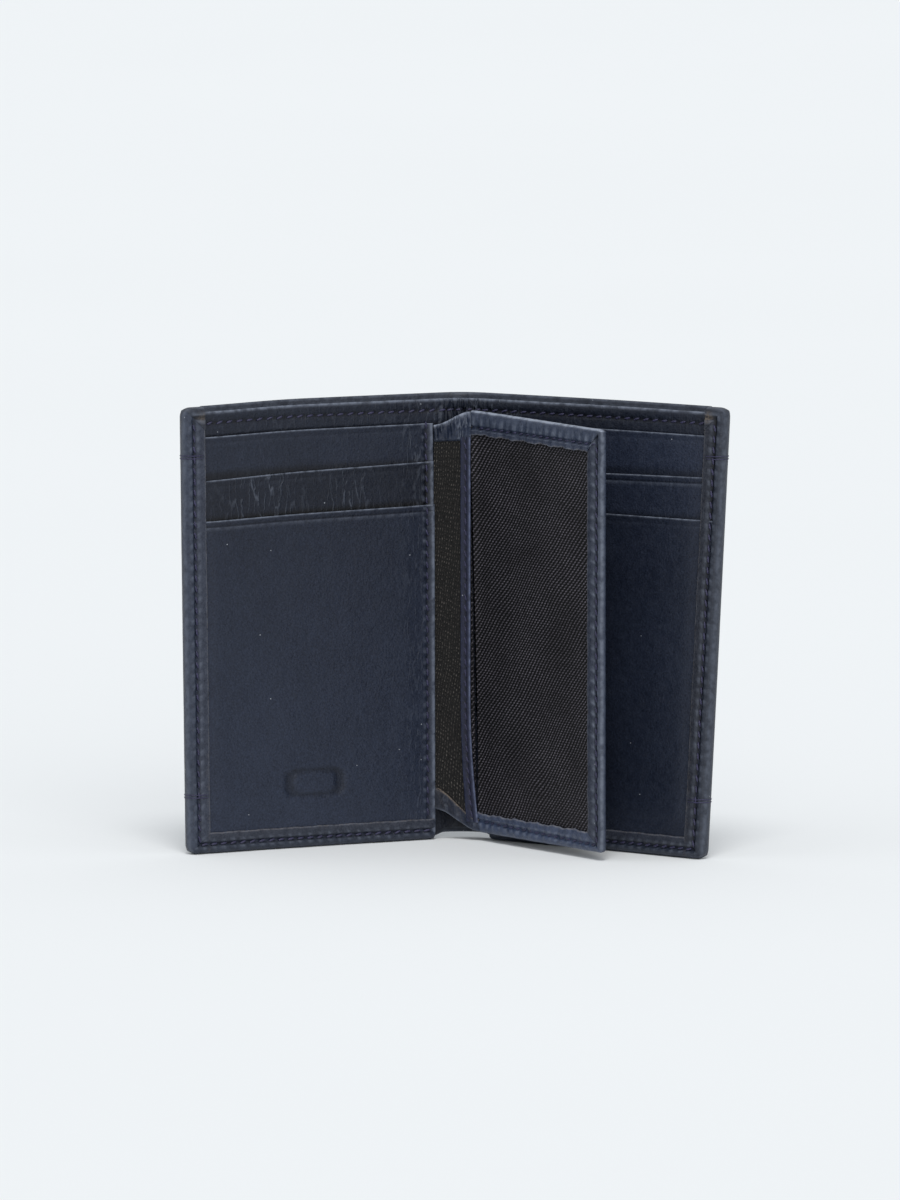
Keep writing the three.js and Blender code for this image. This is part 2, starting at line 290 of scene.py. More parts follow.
def wrap(name, place, across, up, low, high, corner, rows, material, far, stain=None):
    """Leather whose edge is turned in along the bottom, the free side and the top.

    rows is a list of functions of the run's place, each giving (inset at the side, inset at the
    bottom, inset at the top, depth, rubbing and painted highlight, raw, painted shade). The first
    and last rows lie at inset far, where two flat skins fill the middle. stain(s, z) adds raw
    leather to the turned-in side.
    """
    end = across[-1]
    run = [(s, low, "bottom") for s in across]
    run += [(end, z, "side") for z in up[1:-1]]
    run += [(s, high, "top") for s in across[::-1]]

    def inside(s, z, dx, dl, dh):
        s = min(s, end - dx)
        z = min(max(z, low + dl), high - dh)
        px = (s - (end - corner)) / corner
        pz = (low + corner - z) / corner if z < (low + high) / 2 else (z - high + corner) / corner
        if px > 0 and pz > 0:
            qx = px * math.sqrt(max(0.0, 1 - pz * pz / 2))
            qz = pz * math.sqrt(max(0.0, 1 - px * px / 2))
            s = end - corner + qx * corner
            z = low + corner - qz * corner if z < (low + high) / 2 else high - corner + qz * corner
        return s, z

    spots, looks = [], []
    for s, z, part in run:
        for index, row in enumerate(rows):
            dx, dl, dh, depth, worn_and_lit, bare, shade = row(s, z, part)
            u, v = inside(s, z, dx, dl, dh)
            spots.append((u, depth, v))
            if stain and index > LAST_TURN_ROW:
                bare = max(bare, stain(u, v))
            looks.append((worn_and_lit, bare, shade))
    count = len(rows)
    faces = grid_faces(len(run), count)
    middle_s = [s for s in across if s < end - far - 1e-6] + [end - far]
    middle_z = [low + far] + [z for z in up if low + far + 1e-6 < z < high - far - 1e-6] + [high - far]
    outer_depth = rows[0](across[0], low, "bottom")[3]
    inner_depth = rows[-1](across[0], low, "bottom")[3]
    for depth in (outer_depth, inner_depth):
        start = len(spots)
        spots += [(s, depth, z) for s in middle_s for z in middle_z]
        looks += [(0.0, 0.0, 0.0)] * (len(middle_s) * len(middle_z))
        faces += grid_faces(len(middle_s), len(middle_z), start)
    spots = np.array(spots)
    points = place(spots[:, 0], spots[:, 1], spots[:, 2])
    uv = np.stack([spots[:, 0] + spots[:, 1], spots[:, 2]], -1)
    worn_and_lit, bare, shade = np.array(looks).T
    return new_piece(name, points, faces, material, uv, {"wear_and_highlight": worn_and_lit, "raw": bare, "shade": shade}, 55)


def ragged(s, z, part):
    """How far a cut edge strays from its line."""
    run = z if part == "side" else s
    return 0.16 * math.sin(run * 0.83 + 1.0) + 0.11 * math.sin(run * 2.1 + 0.4) + 0.06 * math.sin(run * 4.7)


def edge_rows(
        depth_at, strip, leather, far, line, phase, cut, dip=0.34, leg=0.5, wave=0.3, tone=None, shine=0.0):
    """Rows of a turned edge: outer face, round the edge, over the stitch line, to the cut edge.

    line gives the stitches' inset and phase how far along its stitch a place is; cut is how bare
    the cut edge looks; tone is painted light that lightens or darkens the turned-in side by part;
    shine is a painted highlight along the top edge.
    """
    def at(share, inset=None, width=None, by_line=None, drop=0.0, rub_and_highlight=0.0, bare=0.0, sewn=0.0, dark=0.0):
        def row(s, z, part):
            depth = depth_at(s, z, part)
            turn = math.cos(2 * math.pi * phase(s, z, part))
            level = share * depth - drop - dip * sewn * (1 + 0.5 * turn)
            # Painted shade: dark and the needle holes darken the dye where shadow falls in the stitch groove
            # and under the cut edge; tone adds painted light by part.
            shade = -dark - 0.35 * abs(sewn) * max(0.0, turn)
            if tone and share > 0.6:
                shade += tone(s, z, part)
            worn_and_lit = rub_and_highlight
            # Painted highlight on the puckers between stitches, and shine as a painted highlight along the
            # top edge.
            if sewn < 0:
                worn_and_lit += 0.4 * max(0.0, -turn)
            if part == "top" and 0.4 < share < 0.9:
                worn_and_lit += shine
            if by_line is not None:
                here = line(s, z, part) + by_line
                return here, here, here, level, worn_and_lit, bare, shade
            if width is None:
                return inset, inset, inset, level, worn_and_lit, bare, shade
            stray = ragged(s, z, part) * wave * (0.4 if part == "side" else 1.0)
            side, bottom, top = (value + stray for value in strip)
            return side - width, bottom - width, top - width, level, worn_and_lit, bare, shade
        return row

    rows = [at(0, far), at(0, 4.6), at(0, 3.2), at(0, by_line=0.0, drop=-0.08), at(0, 1.3)]
    for k in range(1, 10):
        angle = math.pi * k / 10
        # The crown of the rolled edge is drawn lighter, partly real rubbing and partly painted highlight.
        crown_wear_and_highlight = 0.1 + 0.34 * math.exp(-(((k - 6.5) / 1.3) ** 2))
        rows.append(at((1 - math.cos(angle)) / 2, EDGE_RADIUS * (1 - math.sin(angle)), rub_and_highlight=crown_wear_and_highlight))
    rows += [
        at(1, by_line=-0.75, drop=-0.03, rub_and_highlight=0.1, sewn=-0.12),
        at(1, by_line=-0.32, drop=0.1, sewn=0.4, dark=0.1),
        at(1, by_line=0.0, drop=0.06, sewn=1.0, dark=0.3),
        at(1, by_line=0.35, drop=0.08, sewn=0.4, dark=0.1),
        at(1, by_line=0.8, drop=-0.02, rub_and_highlight=0.12, bare=0.04, sewn=-0.14),
        at(1, width=1.2, drop=-0.02, rub_and_highlight=0.08, bare=0.06),
        at(1, width=0.4, drop=0.02, rub_and_highlight=0.1, bare=0.08),
        # The next two rows draw the cut edge lighter, partly bare hide and partly painted highlight; the two
        # after them are painted shade in the crevice under the edge.
        at(1, width=0.14, drop=0.04, rub_and_highlight=0.5, bare=cut),
        at(1, width=0.0, drop=0.16, rub_and_highlight=0.35, bare=cut),
        at(1, width=0.0, drop=leg - 0.05, dark=0.5),
        at(1, width=0.4, drop=leg + 0.03, dark=0.5),
        at(1, leather + 0.3, drop=leg + 0.03),
    ]

    def wall(inset, level):
        return lambda s, z, part: (inset, inset, inset, level, 0.0, 0.0, 0.0)

    rows += [wall(leather + 0.3, leather + 0.01), wall(far, leather)]
    return rows


# ------------------------------------------------------------------ materials

def add_node(tree, kind, inputs=None, **settings):
    """Adds a node, sets its properties, and sets or links its inputs."""
    node = tree.nodes.new(kind)
    for key, value in settings.items():
        setattr(node, key, value)
    for key, value in (inputs or {}).items():
        if isinstance(value, bpy.types.NodeSocket):
            tree.links.new(value, node.inputs[key])
        else:
            node.inputs[key].default_value = value
    return node


def new_material(name):
    """An empty node material and its Principled shader."""
    material = bpy.data.materials.new(name)
    material.use_nodes = True
    tree = material.node_tree
    return material, tree, tree.nodes["Principled BSDF"]


def math_node(tree, operation, first, second=0.0, third=None):
    inputs = {0: first, 1: second}
    if third is not None:
        inputs[2] = third
    return add_node(tree, "ShaderNodeMath", inputs, operation=operation).outputs[0]


def times(tree, first, second):
    return math_node(tree, "MULTIPLY", first, second)


def every(size):
    """Scale of a pattern whose marks are about this many millimetres apart."""
    return 1 / (size * MM)


def noise(tree, place, scale, detail, output=0):
    inputs = {"Vector": place, "Scale": scale, "Detail": detail}
    return add_node(tree, "ShaderNodeTexNoise", inputs).outputs[output]


def ranged(tree, value, low, high, least=0.0, most=1.0):
    """The value carried from low..high to least..most and kept inside."""
    return add_node(tree, "ShaderNodeMapRange", {0: value, 1: low, 2: high, 3: least, 4: most}).outputs[0]


def mixed(tree, share, first, second):
    """A colour between two colours."""
    return add_node(tree, "ShaderNodeMix", {0: share, 6: first, 7: second}, data_type="RGBA").outputs[2]


def attribute(tree, name):
    return add_node(tree, "ShaderNodeAttribute", attribute_name=name).outputs["Fac"]


def add_bump(tree, shader, height, strength, distance):
    """Lets a height, in millimetres at 1.0, tilt the shader's normal."""
    inputs = {"Height": height, "Strength": strength, "Distance": distance * MM}
    bump = add_node(tree, "ShaderNodeBump", inputs)
    tree.links.new(bump.outputs[0], shader.inputs["Normal"])


RAW_HIDE = "#6a6056"
DUST = "#8d9199"


def leather(name, dark, light, worn_and_lit, roughness, grain=0.45):
    """Dyed smooth calf leather, corrected grain, semi-matt finish.

    Fine pores and creases break up a soft sheen; folded edges, slot lips and puckers are drawn
    lighter, partly from real rubbing and partly as painted highlight, cut edges show undyed hide,
    and a little dust lies on the surface. A shade value per point darkens the dye as painted shade
    in holes, grooves and crevices and lightens or darkens whole parts as painted light. dark and
    light are linear colours.
    """
    material, tree, shader = new_material(name)
    place = add_node(tree, "ShaderNodeTexCoord").outputs["Object"]
    cloud = noise(tree, place, every(14), 4.0)
    mottle = noise(tree, place, every(1.6), 6.0)
    speck = noise(tree, place, every(0.42), 2.0)
    blend = math_node(tree, "MULTIPLY_ADD", cloud, 0.22, times(tree, mottle, 0.18))
    blend = math_node(tree, "MULTIPLY_ADD", speck, 0.6, blend)
    ramp = ranged(tree, blend, 0.34, 0.66)
    base = mixed(tree, ramp, tuple(dark), tuple(light))
    # Painted light and shade: the shade value darkens the dye in stitch holes, grooves and crevices where
    # shadow falls, and lightens or darkens whole parts to set how brightly they look lit.
    shade = attribute(tree, "shade")
    factor = math_node(tree, "MAXIMUM", math_node(tree, "ADD", shade, 1.0), 0.1)
    toned = add_node(tree, "ShaderNodeVectorMath", {0: base, 3: factor}, operation="SCALE").outputs[0]

    # Slack creases: thin wandering lines, mostly upright, where the crease value is high.
    crease = attribute(tree, "crease")
    bent = noise(tree, place, every(3), 2.0, "Color")
    moved = add_node(tree, "ShaderNodeVectorMath", {0: bent, 3: 1.3 * MM}, operation="SCALE").outputs[0]
    bowed = add_node(tree, "ShaderNodeVectorMath", {0: place, 1: moved}, operation="ADD").outputs[0]
    stretch = add_node(tree, "ShaderNodeMapping", {"Vector": bowed, "Scale": (1.0, 0.6, 0.11)}).outputs[0]
    inputs = {"Vector": stretch, "Scale": every(1.5)}
    cracks = add_node(tree, "ShaderNodeTexVoronoi", inputs, feature="DISTANCE_TO_EDGE")
    ridge = ranged(tree, cracks.outputs[0], 0.09, 0.01)
    patches = noise(tree, place, every(2.2), 2.0)
    patchy = ranged(tree, patches, 0.42, 0.56)
    folded = times(tree, times(tree, ridge, patchy), crease)

    # Painted highlight together with real rubbing: edges, slot lips and puckers are drawn in the lighter edge
    # colour.
    wear_and_highlight = attribute(tree, "wear_and_highlight")
    uneven_rub_and_highlight = ranged(tree, mottle, 0.35, 0.6, 0.35, 1.0)
    rub_and_highlight = times(tree, wear_and_highlight, uneven_rub_and_highlight)
    rub_and_highlight = math_node(tree, "MAXIMUM", rub_and_highlight, times(tree, folded, 0.3))
    edged = mixed(tree, rub_and_highlight, toned, srgb(worn_and_lit))
    raw = attribute(tree, "raw")
    torn = ranged(tree, speck, 0.35, 0.62, 0.1, 1.0)
    bare = times(tree, raw, torn)
    coloured = mixed(tree, bare, edged, srgb(RAW_HIDE))
    dots = add_node(tree, "ShaderNodeTexVoronoi", {"Vector": place, "Scale": every(2.4)})
    small = math_node(tree, "LESS_THAN", dots.outputs["Distance"], 0.06)
    chosen = add_node(tree, "ShaderNodeSeparateColor", {0: dots.outputs["Color"]}).outputs[0]
    dust = times(tree, small, math_node(tree, "GREATER_THAN", chosen, 0.9))
    dusty = mixed(tree, dust, coloured, srgb(DUST))
    tree.links.new(dusty, shader.inputs["Base Color"])

    # Pebbles about 0.45 mm across with finer pores between them.
    inputs = {"Vector": place, "Scale": every(grain)}
    cells = add_node(tree, "ShaderNodeTexVoronoi", inputs, feature="SMOOTH_F1")
    fine = noise(tree, place, every(0.9), 6.0)
    slack = noise(tree, place, every(6), 3.0)
    height = math_node(tree, "MULTIPLY_ADD", cells.outputs["Distance"], 0.4, times(tree, fine, 0.7))
    height = math_node(tree, "MULTIPLY_ADD", slack, 1.6, height)
    height = math_node(tree, "MULTIPLY_ADD", folded, 1.2, height)
    add_bump(tree, shader, height, 0.8, 0.2)
    gloss = ranged(tree, mottle, 0.3, 0.7, roughness - 0.08, roughness + 0.1)
    tree.links.new(gloss, shader.inputs["Roughness"])
    shader.inputs["IOR"].default_value = 1.45
    shader.inputs["Specular IOR Level"].default_value = 0.35
    return material


def twill(name, ground, thread, pitch, dash, slope=1.15, wander=3.0, faded=0.25):
    """Nylon twill: floats lie in slanting ribs, each rib broken into short dashes."""
    material, tree, shader = new_material(name)
    across = attribute(tree, "across")
    along = attribute(tree, "along")
    spot = add_node(tree, "ShaderNodeCombineXYZ", {0: across, 1: along}).outputs[0]
    drift = noise(tree, spot, 0.05, 1.0)
    shifted = math_node(tree, "MULTIPLY_ADD", drift, wander, across)
    rib = math_node(tree, "MULTIPLY_ADD", along, -1 / slope, shifted)
    wave = math_node(tree, "SINE", times(tree, rib, 2 * math.pi / pitch))
    step = math_node(tree, "SINE", times(tree, along, 2 * math.pi / dash))
    top = math_node(tree, "MULTIPLY_ADD", step, 0.6, wave)
    lifted = ranged(tree, top, 0.0, 1.35)
    uneven = noise(tree, spot, 2.3, 3.0)
    fade = ranged(tree, uneven, 0.36, 0.66, faded, 1.0)
    cloud = noise(tree, spot, 0.07, 3.0)
    broad = ranged(tree, cloud, 0.35, 0.65, 0.7, 1.15)
    shown = times(tree, times(tree, lifted, fade), broad)
    colour = mixed(tree, shown, srgb(ground), srgb(thread))
    tree.links.new(colour, shader.inputs["Base Color"])
    add_bump(tree, shader, lifted, 0.8, 0.16)
    shader.inputs["Roughness"].default_value = 0.6
    shader.inputs["Specular IOR Level"].default_value = 0.25
    return material


def thread_material(name, dark, light):
    """Bonded polyester thread: three twisted plies with a faint waxy sheen."""
    material, tree, shader = new_material(name)
    place = add_node(tree, "ShaderNodeTexCoord").outputs["Object"]
    # Plies are drawn 0.22 mm apart, as coarse as they need to be to show.
    inputs = {"Vector": place, "Scale": every(0.9), "Distortion": 1.5}
    plies = add_node(tree, "ShaderNodeTexWave", inputs, bands_direction="DIAGONAL")
    patch = noise(tree, place, every(3), 2.0)
    amount = math_node(tree, "MULTIPLY_ADD", plies.outputs["Fac"], 0.5, times(tree, patch, 0.5))
    colour = mixed(tree, amount, tuple(dark), tuple(light))
    tree.links.new(colour, shader.inputs["Base Color"])
    add_bump(tree, shader, plies.outputs["Fac"], 0.5, 0.05)
    shader.inputs["Roughness"].default_value = 0.55
    return material


MATERIALS = {}


def finishes():
    """All the finishes, made once from the colours in the settings."""
    if MATERIALS:
        return MATERIALS
    tones = bpy.context.scene.wallet_settings
    for key, name, dark, light, worn_and_lit, roughness in (
            ("cover", "Navy calf leather, cover", tones.cover_dark, tones.cover_light, "#6c7382", 0.42),
            ("panel", "Navy calf leather, pockets", tones.panel_dark, tones.panel_light, "#6c7382", 0.45),
            ("binding", "Purple-navy leather binding", tones.binding_dark, tones.binding_light,
             "#6a7390", 0.48),
            ("leaf", "Navy nappa leather, leaf", tones.leaf_dark, tones.leaf_light, "#8b93a3", 0.44)):
        MATERIALS[key] = leather(name, dark, light, worn_and_lit, roughness)
    for key, name, ground, thread, *weave in (
            ("lining", "Brown-black nylon lining", "#080808", "#5b5753", 0.55, 1.1, 9.0, 2.4, -0.35),
            ("mesh", "Black nylon twill mesh", "#050507", "#6f6b74", 1.18, 0.6, 1.15, 5.0),
            ("bill", "Brown-black taffeta lining", "#1a1715", "#3d3833", 0.5, 0.5, 1.0, 0.5)):
        MATERIALS[key] = twill(name, ground, thread, *weave)
    MATERIALS["thread"] = thread_material("Navy bonded thread", tones.thread_dark, tones.thread_light)
    return MATERIALS


# ------------------------------------------------------------------ stitches

def stitch_tree(length, width, material):
    """Geometry nodes that lay a slightly slanted stitch on every point of a row."""
    tree = bpy.data.node_groups.new("Row of stitches", "GeometryNodeTree")
    face = tree.interface
    face.new_socket(name="Geometry", in_out="OUTPUT", socket_type="NodeSocketGeometry")
    face.new_socket(name="Geometry", in_out="INPUT", socket_type="NodeSocketGeometry")
    for name, value in (("Stitch length", length), ("Thread width", width)):
        socket = face.new_socket(name=name, in_out="INPUT", socket_type="NodeSocketFloat")
        socket.default_value = value
    start = tree.nodes.new("NodeGroupInput")
    ball = add_node(tree, "GeometryNodeMeshUVSphere", {"Segments": 8, "Rings": 6, "Radius": 0.5})
    long, wide = start.outputs[1], start.outputs[2]
    size = add_node(tree, "ShaderNodeCombineXYZ", {0: long, 1: wide, 2: wide})
    shaped = add_node(tree, "GeometryNodeTransform", {"Geometry": ball.outputs[0], "Scale": size.outputs[0]})
    along = add_node(tree, "GeometryNodeInputNamedAttribute", {"Name": "row"}, data_type="FLOAT_VECTOR")
    out = add_node(tree, "GeometryNodeInputNamedAttribute", {"Name": "out"}, data_type="FLOAT_VECTOR")
    first = add_node(tree, "FunctionNodeAlignRotationToVector", {"Vector": along.outputs[0]}, axis="X")
    second = add_node(
        tree, "FunctionNodeAlignRotationToVector",
        {"Rotation": first.outputs[0], "Vector": out.outputs[0]}, axis="Z", pivot_axis="X")
    wobble = add_node(
        tree, "FunctionNodeRandomValue", {"Min": (-0.04, -0.06, 0.12), "Max": (0.04, 0.06, 0.38), "Seed": 7},
        data_type="FLOAT_VECTOR")
    turned = add_node(
        tree, "FunctionNodeRotateRotation",
        {"Rotation": second.outputs[0], "Rotate By": wobble.outputs[0]}, rotation_space="LOCAL")
    placed = add_node(
        tree, "GeometryNodeInstanceOnPoints",
        {"Points": start.outputs[0], "Instance": shaped.outputs[0], "Rotation": turned.outputs[0]})
    real = add_node(tree, "GeometryNodeRealizeInstances", {"Geometry": placed.outputs[0]})
    smoothed = add_node(tree, "GeometryNodeSetShadeSmooth", {"Geometry": real.outputs[0]})
    painted = add_node(
        tree, "GeometryNodeSetMaterial", {"Geometry": smoothed.outputs[0], "Material": material})
    end = tree.nodes.new("NodeGroupOutput")
    tree.links.new(painted.outputs[0], end.inputs[0])
    return tree


def stitches(name, centres, rows, outs, length=1.8, width=0.54):
    """A row of stitches as one plain mesh, from their middles, directions and outward normals."""
    data = bpy.data.meshes.new(name + "_row")
    data.from_pydata((np.asarray(centres) * MM).tolist(), [], [])
    for key, values in (("row", rows), ("out", outs)):
        layer = data.attributes.new(key, "FLOAT_VECTOR", "POINT")
        layer.data.foreach_set("vector", np.asarray(values, np.float32).ravel())
    seed = linked(name + "_row", data)
    modifier = seed.modifiers.new("Stitches", "NODES")
    modifier.node_group = stitch_tree(length * MM, width * MM, finishes()["thread"])
    sockets = {s.name: s.identifier for s in modifier.node_group.interface.items_tree if s.in_out == "INPUT"}
    modifier[sockets["Stitch length"]] = length * MM
    modifier[sockets["Thread width"]] = width * MM
    graph = bpy.context.evaluated_depsgraph_get()
    graph.update()
    made = bpy.data.meshes.new_from_object(seed.evaluated_get(graph))
    made.name = name
    bpy.data.objects.remove(seed)
    if not len(made.polygons):
        raise RuntimeError(f"{name}: no stitches were made")
    return linked(name, made)


def stitch_line(name, place, route, depth, length=1.8, width=0.54):
    """Stitches along a route of (a, z) corners at a depth given as a function of (a, z)."""
    centres, rows, outs = [], [], []
    for (a0, z0), (a1, z1) in zip(route, route[1:]):
        reach = math.hypot(a1 - a0, z1 - z0)
        count = max(1, round(reach / STITCH_PITCH))
        for k in range(count):
            f = (k + 0.5) / count
            a, z = a0 + (a1 - a0) * f, z0 + (z1 - z0) * f
            t = depth(a, z)
            da, dz = (a1 - a0) / reach * 0.1, (z1 - z0) / reach * 0.1
            here = place(a, t, z)
            centres.append(here)
            rows.append(place(a + da, t, z + dz) - place(a - da, t, z - dz))
            outs.append(place(a, t + 0.1, z) - here)
    unit = [v / np.linalg.norm(v) for v in rows]
    up = [v / np.linalg.norm(v) for v in outs]
    return stitches(name, centres, unit, up, length, width)


# ------------------------------------------------------------------ one side of the wallet

def body(side):
    return f"{side}_cover"


def bend_at_spine(piece, side):
    """Bakes the piece's transform into its points."""
    place = cover_place(side)
    start = ground_point(place(0.6, 1.5, 0))
    end = ground_point(place(HALF_SPINE + 2.2, 1.5, 0))
    body(side)
    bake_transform(piece)


SEWN_START = INNER_EDGE + 1.2
SEWN_END = EDGE - STITCH_INSET
SEWN_TOP = DIVIDER_TOP - 2.2


def sewn_phase(s, z, part):
    """Stitches counted along the cover's bottom and side; whole numbers are needle holes."""
    if part == "top":
        return 0.5
    start, end, here = (SEWN_START, SEWN_END, s) if part == "bottom" else (STITCH_INSET, SEWN_TOP, z)
    count = round((end - start) / STITCH_PITCH)
    if not start - 0.5 < here < end + 0.5:
        return 0.5
    return (here - start) / (end - start) * count


def outer_cover(side):
    """The outer leather with its bottom and side edges turned in and its top edge hemmed."""

    def depth_at(s, z, part):
        uneven = 0.07 * math.sin(s * 0.31 + 1) + 0.05 * math.sin(z * 0.23) + 0.04 * math.sin((s + z) * 0.9)
        if part == "bottom":
            return HEM + (STACK - HEM + uneven) * float(smooth(s, INNER_EDGE - 0.2, INNER_EDGE + 0.4))
        if part == "top":
            return HEM + (STACK - HEM) * float(smooth(s, EDGE - STRIP - 0.35, EDGE - STRIP))
        return STACK + uneven

    across = together(
        steps(0, INNER_EDGE - 0.4, 0.62), [INNER_EDGE, INNER_EDGE + 0.3],
        steps(INNER_EDGE + 0.9, EDGE - STRIP - 0.35, STITCH_STEP), [EDGE - STRIP],
        steps(EDGE - STRIP + 0.4, EDGE, 0.5))
    up = steps(0, HEIGHT, STITCH_STEP)

    def stain(s, z):
        spot = ((s - EDGE + 4.6) / 1.2) ** 2 + ((z - HEIGHT + 2.3) / 1.1) ** 2
        scuffed = 0.22 * math.exp(-(((s - EDGE + STRIP - 0.4) / 0.45) ** 2)) * float(smooth(34 - z, 0, 14))
        return (0.5 if side == "left" else 1.0) * math.exp(-spot) + scuffed * (0.6 + 0.4 * math.sin(z * 1.7))

    # Painted light on the turned-in side: the left side strip lighter and the right one darker as the light
    # falls, the top hem darker, and painted shade in the hollow at the bottom by the spine.
    def tone(s, z, part):
        if part == "side":
            return 0.33 if side == "left" else -0.3
        if part == "top":
            return -0.35
        return -0.5 * (1 - float(smooth(s, INNER_EDGE - 0.4, INNER_EDGE)))

    def line(s, z, part):
        return STITCH_INSET

    far, corner = 8.0, 2.4
    strip = (STRIP, STRIP - 0.3, STRIP)
    rows = edge_rows(depth_at, strip, LEATHER, far, line, sewn_phase, 0.34, tone=tone)
    piece = wrap(
        f"{side}_leather_cover", cover_place(side), across, up, 0.0, HEIGHT, corner, rows,
        finishes()["cover"], far, stain)
    bend_at_spine(piece, side)
    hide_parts(f"{side}_outer_cover", *(["spine_cover"] if side == "left" else []))
    return piece


def cover_lining(side):
    """The thin cloth on the back wall of the bill compartment."""
    across = steps(0, EDGE - 1.6, 2.0)
    up = np.concatenate([steps(1.6, 96, 4.0), steps(97, HEIGHT - 2.6, 0.8)])

    def front(a, z):
        return 1.12 + 0.5 * smooth(z, HEIGHT - 8.5, HEIGHT - 6.2) + 0.04 * np.sin(a * 1.1 + z * 0.4)

    piece = sheet(
        f"{side}_bill_lining", cover_place(side), across, up, front, lambda a, z: front(a, z) - 0.16,
        finishes()["bill"])
    bend_at_spine(piece, side)
    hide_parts(f"{side}_cover_lining", *(["spine_lining"] if side == "left" else []))
    return piece


def gathers(a, z, top, reach=6.0, size=0.2):
    """Small upright puckers where leather is drawn in round the spine."""
    near = np.exp(-((a / (HALF_SPINE * 1.15)) ** 4)) * smooth(z, top - reach - 2, top - reach + 1)
    return size * near * (np.sin(a * 4.6 + z * 0.4) + 0.7 * np.sin(a * 6.7 - z * 0.6) + 0.4 * np.sin(a * 2.3))


DIVIDER_DEPTH = 2.3
DIVIDER_LINE = 2.7                    # how far the divider's stitches lie below its top
DIVIDER_SEWN = (0.2, EDGE - STRIP - 0.4)


def divider_phase(a):
    """Stitches counted along the divider's hem; whole numbers are needle holes."""
    start, end = DIVIDER_SEWN
    return (a - start) / (end - start) * round((end - start) / STITCH_PITCH)


def bill_divider(side):
    """The leather front wall of the bill compartment, hemmed and stitched along its top."""
    hem = DIVIDER_TOP - 5.6
    across = together(steps(0, INNER_EDGE, 0.28), steps(INNER_EDGE, EDGE - 1.6, STITCH_STEP))
    up = with_edges(np.concatenate([steps(1.4, 90, 4.5), steps(92, DIVIDER_TOP, 0.4)]), 0.42, low=False)

    def half(a, z):
        thick = 0.25 + 0.17 * smooth(z, hem - 0.2, hem + 0.2)
        return np.minimum(thick, rounded(DIVIDER_TOP - z, 0.42))

    def middle(a, z):
        off = z - DIVIDER_TOP + DIVIDER_LINE
        turn = np.cos(2 * math.pi * divider_phase(a))
        pinch = 0.26 * hill(off, 0.4) * (1 + 0.5 * turn)
        scallop = 0.09 * turn * (hill(off - 0.9, 0.4) + hill(off + 0.9, 0.4))
        roll = 0.14 * hill(off - 1.7, 0.7)
        swell = 0.07 * np.sin(a * 0.35) * smooth(z, 90, 104)
        return DIVIDER_DEPTH + gathers(a, z, DIVIDER_TOP) - pinch + scallop + roll + swell

    # Painted highlight and real rubbing along the rolled top edge.
    def worn_and_lit(a, z):
        return 0.9 * hill(DIVIDER_TOP - z - 0.1, 0.4)

    def creased(a, z):
        return 1.0 * hill(a, 11) * smooth(z, 94, 99) + 0.2

    # Painted shade: the divider is drawn darker, and darker still in the stitch holes and in the crevice
    # below its hem where the top pocket stands in front.
    def shaded(a, z):
        off = z - DIVIDER_TOP + DIVIDER_LINE
        hole = np.maximum(np.cos(2 * math.pi * divider_phase(a)), 0) + 0.5
        return -0.3 - 0.4 * hole * hill(off, 0.45) - 0.3 * (1 - smooth(z, hem - 0.1, hem + 0.25))

    piece = sheet(
        f"{side}_divider", cover_place(side), across, up, lambda a, z: middle(a, z) + half(a, z),
        lambda a, z: middle(a, z) - half(a, z), finishes()["panel"],
        {"wear_and_highlight": worn_and_lit, "crease": creased, "shade": shaded})
    bend_at_spine(piece, side)
    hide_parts(f"{side}_bill_divider", *(["spine_bill_divider"] if side == "left" else []))
    return piece


def pocket_backing(side):
    """Cloth behind the pockets, seen only down the slots."""
    across = steps(INNER_EDGE + 0.5, EDGE - 1.8, 2.5)
    up = steps(1.8, SLOT_TOPS[0] - 1.0, 3.0)
    piece = sheet(
        f"{side}_pocket_cloth", cover_place(side), across, up, lambda a, z: 2.74 + 0 * a,
        lambda a, z: 2.66 + 0 * a, finishes()["lining"])
    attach(piece, body(side))
    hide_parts(f"{side}_pocket_backing")
    return piece


POCKET_NAMES = ("top", "middle", "bottom")
POCKET_DEPTHS = (2.9, 3.16, 3.42)
SEAM = (5.4, SLOT_TOPS[0] + 0.6)      # the inner seam's lower and upper ends
SEAM_INSET = 1.95                     # the inner seam's distance from the pockets' inner edge
SEAM_GROOVE = 1.9                     # where the leather dips for it


def debossed(a, z):
    """The outline of a plain rounded rectangle pressed low into the left panel."""
    x = (a - (EDGE - 32.8)) / 8.0
    y = (z - 15.2) / 3.5
    outline = np.abs((x ** 4 + y ** 4) ** 0.25 - 0.82) * 3.6
    return 1 - smooth(outline, 0.3, 0.75)


PRESSED = {"left": (0.15, 0.15, 1.0), "right": (0.15, 1.0, 0.2)}  # how clear the line below each slot is
# Painted light for the top, middle and bottom pocket of each side: how much lighter or darker its leather is
# drawn; on the right it lightens the pockets that the leaf shades.
TONES = {"left": (-0.12, -0.42, -0.06), "right": (0.26, 0.08, -0.08)}


def seam_phase(z):
    """Stitches counted up the pockets' inner seam; whole numbers are needle holes."""
    start, end = SEAM
    return (z - start) / (end - start) * round((end - start) / STITCH_PITCH)


